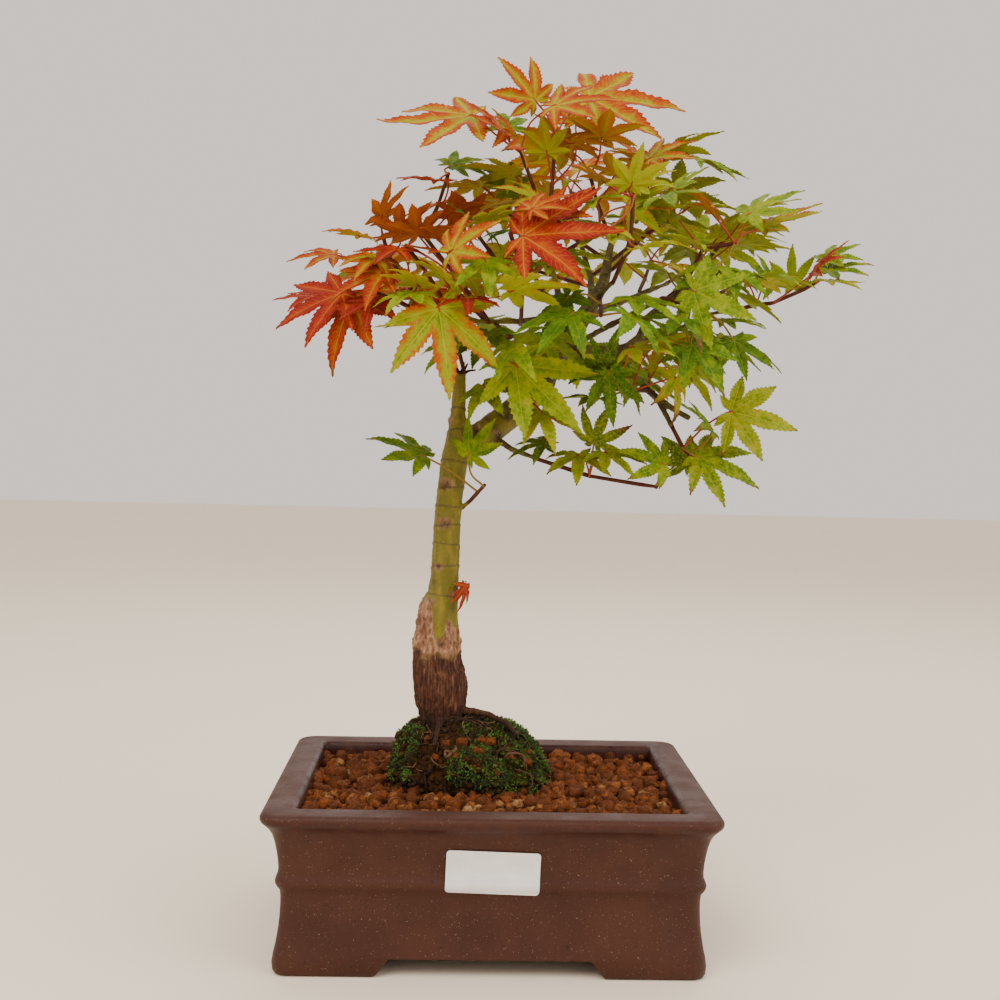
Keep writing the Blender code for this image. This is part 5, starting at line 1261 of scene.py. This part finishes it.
def read_blades(work):
    """The lie of each blade in a spray's solid, found by the hubs in the middle of its two faces."""
    hubs = [vertex for vertex in work.verts if len(vertex.link_edges) == HUB_SPOKES]
    blades = []
    while hubs:
        first = hubs.pop(0)
        second = min(hubs, key=lambda other: (other.co - first.co).length)
        hubs.remove(second)
        feet, tips, around = [], [], {first, second}
        for hub in (first, second):
            spokes = sorted((edge.other_vert(hub) for edge in hub.link_edges),
                            key=lambda vertex: (vertex.co - hub.co).length)
            feet.append(spokes[:2])
            tips.append(spokes[-1].co)
            around.update(spokes)
        over, below = (sum((vertex.co for vertex in pair), Vector()) / 2.0 for pair in feet)
        base = (over + below) / 2.0
        span = (tips[0] + tips[1]) / 2.0 - base
        normal = (over - below).normalized()
        if span.dot(normal) > 0.0:
            normal.negate()
        sag = -span.dot(normal)
        midrib = span + normal * sag
        knee = {edge.other_vert(vertex) for pair in feet for vertex in pair
                for edge in vertex.link_edges} - around
        socket = {edge.other_vert(vertex) for vertex in knee for edge in vertex.link_edges} - around - knee
        blades.append({
            "base": base, "midrib": midrib.normalized(), "normal": normal, "length": midrib.length,
            "droop": sag / midrib.length, "own": around | knee,
            "knee": sum((vertex.co for vertex in knee), Vector()) / len(knee),
            "start": sum((vertex.co for vertex in socket), Vector()) / len(socket)})
    return blades


def read_shoot(work, blades, wood):
    """The middle line of a spray's shoot, from inside the wood to its end."""
    taken = set().union(*(blade["own"] for blade in blades))
    left = [vertex for vertex in work.verts if vertex not in taken]
    rings = []
    while left:
        ring = [left.pop(0)]
        for vertex in ring:
            near = [other for other in left if (other.co - vertex.co).length < RING_REACH]
            for other in near:
                left.remove(other)
                ring.append(other)
        rings.append(ring)
    middles = [sum((vertex.co for vertex in ring), Vector()) / len(ring) for ring in rings]
    ring_of = {vertex: number for number, ring in enumerate(rings) for vertex in ring}
    beside = {number: set() for number in range(len(rings))}
    for vertex, number in ring_of.items():
        for edge in vertex.link_edges:
            other = ring_of.get(edge.other_vert(vertex), number)
            if other != number:
                beside[number].add(other)
    ends = [number for number, near in beside.items() if len(near) == 1]
    number = min(ends, key=lambda end: wood.find_nearest(middles[end])[3])
    order = [number]
    while True:
        onwards = [other for other in beside[order[-1]] if other not in order]
        if not onwards:
            break
        order.append(onwards[0])
    line = [middles[number] for number in order]
    touch, bark, _, _ = wood.find_nearest(line[0])
    return [touch - bark * (0.9 * MM)] + line


def lobe_rows(axis, size, width, left, right, draws):
    """Rows across one lobe: how far along its vein, and the half widths to the left and right."""
    sides = []
    for sinus in (left, right):
        start, aside = sinus.dot(axis), abs(sinus.x * axis.y - sinus.y * axis.x)
        rows = [(start * share, aside * share, 0.0) for share in (0.0, 0.4, 0.75)]
        phase = draws.uniform(-0.2, 0.2)
        for step in range(2 * TEETH + 1):
            share = step / (2 * TEETH)
            rise = min(share / 0.30, 1.0)
            full = aside / width + (1.0 - aside / width) * math.sin(rise * math.pi / 2.0)
            fall = max((share - 0.30) / 0.70, 0.0)
            half = width * full * (1.0 - fall) ** 1.15 * (1.0 + 0.85 * fall)
            tooth = (0.016 if step % 2 else -0.010) * (1.0 - share) ** 0.4 * (1.0 + phase)
            ahead = 0.016 if step % 2 else 0.0
            last = step == 2 * TEETH
            reach = start + (size - start) * share + (0.0 if last else ahead)
            rows.append((reach, 0.0 if last else max(half + tooth * min(share * 8.0, 1.0), 0.004), 1.0))
        sides.append(rows)
    return sides


def blade_pattern(draws):
    """A flat blade one unit long: points, what each carries, and faces."""
    angles = [math.radians(angle + draws.normal(0.0, 3.0)) for angle, _, _ in LOBES]
    sizes = [size * (1.0 + draws.normal(0.0, 0.05)) for _, size, _ in LOBES]
    sizes[len(LOBES) // 2] = 1.0
    between = [(a + b) / 2.0 for a, b in zip(angles, angles[1:])]
    between = [-math.radians(OUTER_SINUS)] + between + [math.radians(OUTER_SINUS)]
    hollows = [Vector((math.sin(turn), math.cos(turn))) * (reach * (1.0 + draws.normal(0.0, 0.06)))
               for turn, reach in zip(between, SINUS_REACH)]
    points, numbers, faces = [], {}, []

    def number_of(x, y, along, aside, margin, lobe):
        key = (round(x, 5), round(y, 5))
        if key not in numbers:
            numbers[key] = len(points)
            points.append((x, y, along, aside, margin, lobe))
        return numbers[key]

    for lobe, (turn, size) in enumerate(zip(angles, sizes)):
        axis = Vector((math.sin(turn), math.cos(turn)))
        across = Vector((math.cos(turn), -math.sin(turn)))
        width = LOBES[lobe][2] * (1.0 + draws.normal(0.0, 0.06))
        sides = lobe_rows(axis, size, width, hollows[lobe], hollows[lobe + 1], draws)
        for sign, rows in zip((-1.0, 1.0), sides):
            grid = []
            for index, (reach, half, edge) in enumerate(rows):
                vein = reach if index < 3 else rows[3][0] + (size - rows[3][0]) * (index - 3) / (2 * TEETH)
                line = []
                for share in (0.0, 0.5, 1.0):
                    along = vein + (reach - vein) * share
                    spot = axis * along + across * (sign * half * share)
                    line.append(number_of(spot.x, spot.y, along, half * share, share * edge, lobe))
                grid.append(line)
            for lower, upper in zip(grid, grid[1:]):
                for i in range(2):
                    ring = [lower[i], lower[i + 1], upper[i + 1], upper[i]]
                    ring = [entry for place_in, entry in enumerate(ring) if entry not in ring[:place_in]]
                    if len(ring) > 2:
                        faces.append(ring if sign > 0.0 else ring[::-1])
    return np.array(points), faces


def rim_of(faces):
    """Edges that only one face uses, in that face's direction."""
    edges = {(a, b) for face in faces for a, b in zip(face, face[1:] + face[:1])}
    return [edge for edge in edges if (edge[1], edge[0]) not in edges]


def curved_blade(pattern, blade, dryness, draws):
    """The points of a blade's middle surface in the frame, and how dry each is."""
    x, y, along, aside, margin, lobe = pattern.T
    lobe = lobe.astype(int)
    bend = draws.normal(0.05, 0.16, len(LOBES))[lobe]
    sway = draws.normal(0.0, 0.05, len(LOBES))[lobe]
    curl = np.abs(draws.normal(0.0, 1.0, len(LOBES)))[lobe] * dryness
    turns = np.radians([angle for angle, _, _ in LOBES])[lobe]
    phase = draws.uniform(0.0, 6.28, len(LOBES))[lobe]
    ends = np.array([size for _, size, _ in LOBES])[lobe]
    far = np.clip(along / ends - 0.45, 0.0, 1.0)
    x = x + np.cos(turns) * sway * far ** 1.5
    y = y - np.sin(turns) * sway * far ** 1.5
    z = -blade["droop"] * (x * x + y * y) - bend * far ** 2
    z += draws.uniform(0.15, 0.42) * aside
    z += 0.010 * np.sin(19.0 * along + phase) * margin
    z -= 0.9 * curl * np.clip(along / ends - 0.72, 0.0, 1.0) ** 2 * ends
    side = blade["midrib"].cross(blade["normal"])
    size = blade["length"]
    spots = (np.array(blade["base"]) + np.outer(x * size, side) + np.outer(y * size, blade["midrib"])
             + np.outer(z * size, blade["normal"]))
    dry = eased(along / ends + 0.10 * margin, 1.0 - 0.32 * np.clip(curl, 0.0, 1.4), 1.06)
    return spots, dry * (curl > 0.15)


def spray_name(node):
    return node.replace("leaves_", "")


def tone_at(name, spot):
    spots = TONES[name]
    return min(spots, key=lambda entry: (place(*entry[:3]) - spot).length)[3]


class BONSAI_OT_leaves(bpy.types.Operator):
    """Sprays of maple leaves on their stalks and shoots"""
    bl_idname = "bonsai.leaves"
    bl_label = "Leaves"

    def execute(self, context):
        settings = context.scene.bonsai_leaves
        draws = np.random.default_rng(settings.seed)
        patterns = [blade_pattern(draws) for _ in range(BLADE_KINDS)]
        wood_work = merged_copy("trunk_and_branches")
        wood = BVHTree.FromBMesh(wood_work)
        leaf, shoot = maple_leaf(settings), young_shoot()
        stems = stem_tree()
        for node in sorted(name for name in NODES if name.startswith("leaves_")):
            name = spray_name(node)
            work = merged_copy(node)
            blades = read_blades(work)
            line = read_shoot(work, blades, wood)
            obj = self.blades_object(name, blades, patterns, draws, settings.thickness)
            set_material(obj, leaf)
            threads = line_object("spray_lines", self.stems_of(name, blades, line))
            apply_tree(obj, stems, Lines=threads, Finish=shoot, Sides=8)
            settle(obj)
            bpy.data.objects.remove(threads, do_unlink=True)
            work.free()
            finish_piece(obj, SLOT_OF[node], node)
        wood_work.free()
        bud, knee, foot, tip = (place(*spot) for spot in TRUNK_LEAF)
        blade = {
            "base": foot, "midrib": (tip - foot).normalized(), "length": (tip - foot).length, "droop": 0.25,
            "normal": Vector((0.88, -0.45, 0.1)).normalized(), "knee": knee, "start": bud}
        across = blade["normal"].cross(blade["midrib"]).normalized()
        blade["normal"] = blade["midrib"].cross(across)
        obj = self.blades_object("on_trunk", [blade], patterns, draws, settings.thickness)
        set_material(obj, leaf)
        threads = line_object("stalk_line", self.stalks("on_trunk", [blade]))
        apply_tree(obj, stems, Lines=threads, Finish=shoot, Sides=8)
        settle(obj)
        bpy.data.objects.remove(threads, do_unlink=True)
        finish_piece(obj, "leaf_red")
        return {"FINISHED"}

    @staticmethod
    def stems_of(name, blades, line):
        """Lines for the shoot, thinner towards its end, and for each leaf's stalk."""
        count = len(line)
        shoot = [(point, (0.95 - 0.30 * i / count + (0.12 if i % 2 == 0 and i else 0.0)) * MM,
                  0.05 + 0.25 * i / count) for i, point in enumerate(line)]
        return [eased_line(shoot, 4)] + BONSAI_OT_leaves.stalks(name, blades)

    @staticmethod
    def stalks(name, blades):
        """A bent line for each leaf's stalk, from its shoot to the foot of its blade."""
        lines = []
        for blade in blades:
            tone = tone_at(name, blade["base"] + blade["midrib"] * blade["length"])
            shade = 0.5 if tone > 2.4 else 0.62 if tone > 1.4 else 0.9
            toward = (blade["knee"] - blade["start"]).normalized()
            route = ((blade["start"] - toward * 0.5 * MM, 0.62), (blade["start"] + toward * 1.4 * MM, 0.50),
                     (blade["knee"], 0.40), (blade["base"] - blade["midrib"] * 0.8 * MM, 0.42),
                     (blade["base"] + blade["midrib"] * 1.6 * MM, 0.30))
            lines.append(eased_line([(point, radius * MM, shade) for point, radius in route], 5))
        return lines

    @staticmethod
    def blades_object(name, blades, patterns, draws, thickness):
        """One mesh of all the blades of a spray, each a thin closed shell."""
        spots, faces = [], []
        carried = {"tone": [], "lobe": [], "dry": [], "fleck": [], "under": []}
        for blade in blades:
            pattern, ring = patterns[int(draws.integers(len(patterns)))]
            dryness = DRY.get(name, 0.15) * draws.uniform(0.0, 1.0)
            middle, dry = curved_blade(pattern, blade, dryness, draws)
            tone = tone_at(name, blade["base"] + blade["midrib"] * blade["length"]) + draws.normal(0.0, 0.12)
            fleck = FLECKED.get(name, 0.08) * draws.uniform(0.2, 1.0)
            count = len(pattern)
            first = sum(len(part) for part in spots)
            half = np.array(blade["normal"]) * (thickness / 2.0)
            spots += [middle + half, middle - half]
            faces += [[first + entry for entry in face] for face in ring]
            faces += [[first + count + entry for entry in reversed(face)] for face in ring]
            faces += [[first + b, first + a, first + count + a, first + count + b] for a, b in rim_of(ring)]
            for under in (0.0, 1.0):
                carried["tone"].append(np.full(count, tone))
                carried["lobe"].append(pattern[:, 2:5])
                carried["dry"].append(dry)
                carried["fleck"].append(np.full(count, fleck))
                carried["under"].append(np.full(count, under))
        mesh = bpy.data.meshes.new("spray_" + name)
        mesh.from_pydata(np.concatenate(spots).tolist(), [], faces)
        for title, parts in carried.items():
            write_attribute(mesh, title, np.concatenate(parts))
        smooth_shade(mesh, 50.0)
        return add_object("spray_" + name, mesh)


# Stage ----------------------------------------------------------------------------------------------

CAMERA_PLACE = (-15.4, -570.4, 212.1)
CAMERA_YAW = math.radians(1.707)
CAMERA_PITCH = math.radians(2.958)
CAMERA_ROLL = math.radians(1.309)
CAMERA_LENS = 48.14
# Lamps: place in mm, size in m, share of the key light's power, colour.
LAMPS = (
    ((-520, -760, 1150), 0.9, 1.0, (1.0, 0.95, 0.88)),
    ((750, -420, 700), 1.0, 0.45, (1.0, 0.97, 0.93)),
    ((100, 700, 950), 0.9, 0.34, (1.0, 0.97, 0.93)),
)


class BONSAI_OT_stage(bpy.types.Operator):
    """Pale floor, soft studio light and camera"""
    bl_idname = "bonsai.stage"
    bl_label = "Stage"

    def execute(self, context):
        settings = context.scene.bonsai_stage
        work = bmesh.new()
        bmesh.ops.create_grid(work, x_segments=1, y_segments=1, size=3.0)
        floor = add_object("floor", mesh_from("floor", work))
        recipe = Recipe("pale_floor")
        darker = tuple(0.96 * part for part in settings.floor)
        tint = recipe.blend(recipe.noise(6.0), tuple(settings.floor), darker)
        set_material(floor, recipe.finish(tint, 0.7))
        for spot, size, share, tint in LAMPS:
            self.add_lamp(context, place(*spot), size, settings.key * share, tint)
        world = bpy.data.worlds.new("studio")
        world.use_nodes = True
        background = world.node_tree.nodes["Background"]
        background.inputs["Color"].default_value = (0.92, 0.84, 0.77, 1.0)
        background.inputs["Strength"].default_value = 1.12
        context.scene.world = world
        self.add_camera(context)
        return {"FINISHED"}

    @staticmethod
    def add_lamp(context, spot, size, power, tint):
        lamp = bpy.data.lights.new("softbox", "AREA")
        lamp.shape = "DISK"
        lamp.size = size
        lamp.energy = power
        lamp.color = tint
        obj = bpy.data.objects.new("softbox", lamp)
        obj.location = spot
        obj.rotation_euler = (place(0.0, 0.0, 190.0) - spot).to_track_quat("-Z", "Y").to_euler()
        context.scene.collection.objects.link(obj)

    @staticmethod
    def add_camera(context):
        data = bpy.data.cameras.new("camera")
        data.lens = CAMERA_LENS
        data.sensor_width = 36.0
        forward = Vector((math.sin(CAMERA_YAW) * math.cos(CAMERA_PITCH),
                          math.cos(CAMERA_YAW) * math.cos(CAMERA_PITCH), -math.sin(CAMERA_PITCH)))
        level = Vector((math.cos(CAMERA_YAW), -math.sin(CAMERA_YAW), 0.0))
        upright = level.cross(forward)
        right = level * math.cos(CAMERA_ROLL) + upright * math.sin(CAMERA_ROLL)
        above = upright * math.cos(CAMERA_ROLL) - level * math.sin(CAMERA_ROLL)
        turn = Matrix((right, above, -forward)).transposed().to_4x4()
        obj = bpy.data.objects.new("camera", data)
        obj.matrix_world = Matrix.Translation(place(*CAMERA_PLACE)) @ turn
        context.scene.collection.objects.link(obj)
        context.scene.camera = obj


# Add-on ------------------------------------------------------------------------------------------------

OPERATORS = (
    BONSAI_OT_stage, BONSAI_OT_pot, BONSAI_OT_sticker, BONSAI_OT_drainage, BONSAI_OT_granules,
    BONSAI_OT_root_ball, BONSAI_OT_moss, BONSAI_OT_wood, BONSAI_OT_leaves,
)


class BONSAI_PT_pieces(bpy.types.Panel):
    """The pieces of the bonsai and their settings"""
    bl_idname = "BONSAI_PT_pieces"
    bl_label = "Bonsai"
    bl_space_type = "VIEW_3D"
    bl_region_type = "UI"
    bl_category = "Bonsai"

    def draw(self, context):
        for operator in OPERATORS:
            self.layout.operator(operator.bl_idname)
        for title, settings in SETTINGS.items():
            box = self.layout.box()
            for entry in settings.__annotations__:
                box.prop(getattr(context.scene, title), entry)


CLASSES = (*SETTINGS.values(), *OPERATORS, BONSAI_PT_pieces)


def register():
    for entry in CLASSES:
        bpy.utils.register_class(entry)
    for title, settings in SETTINGS.items():
        setattr(bpy.types.Scene, title, PointerProperty(type=settings))


def unregister():
    for title in SETTINGS:
        delattr(bpy.types.Scene, title)
    for entry in reversed(CLASSES):
        bpy.utils.unregister_class(entry)


def main():
    register()
    for operator in OPERATORS:
        group, name = operator.bl_idname.split(".")
        getattr(getattr(bpy.ops, group), name)()


if __name__ == "__main__":
    main()
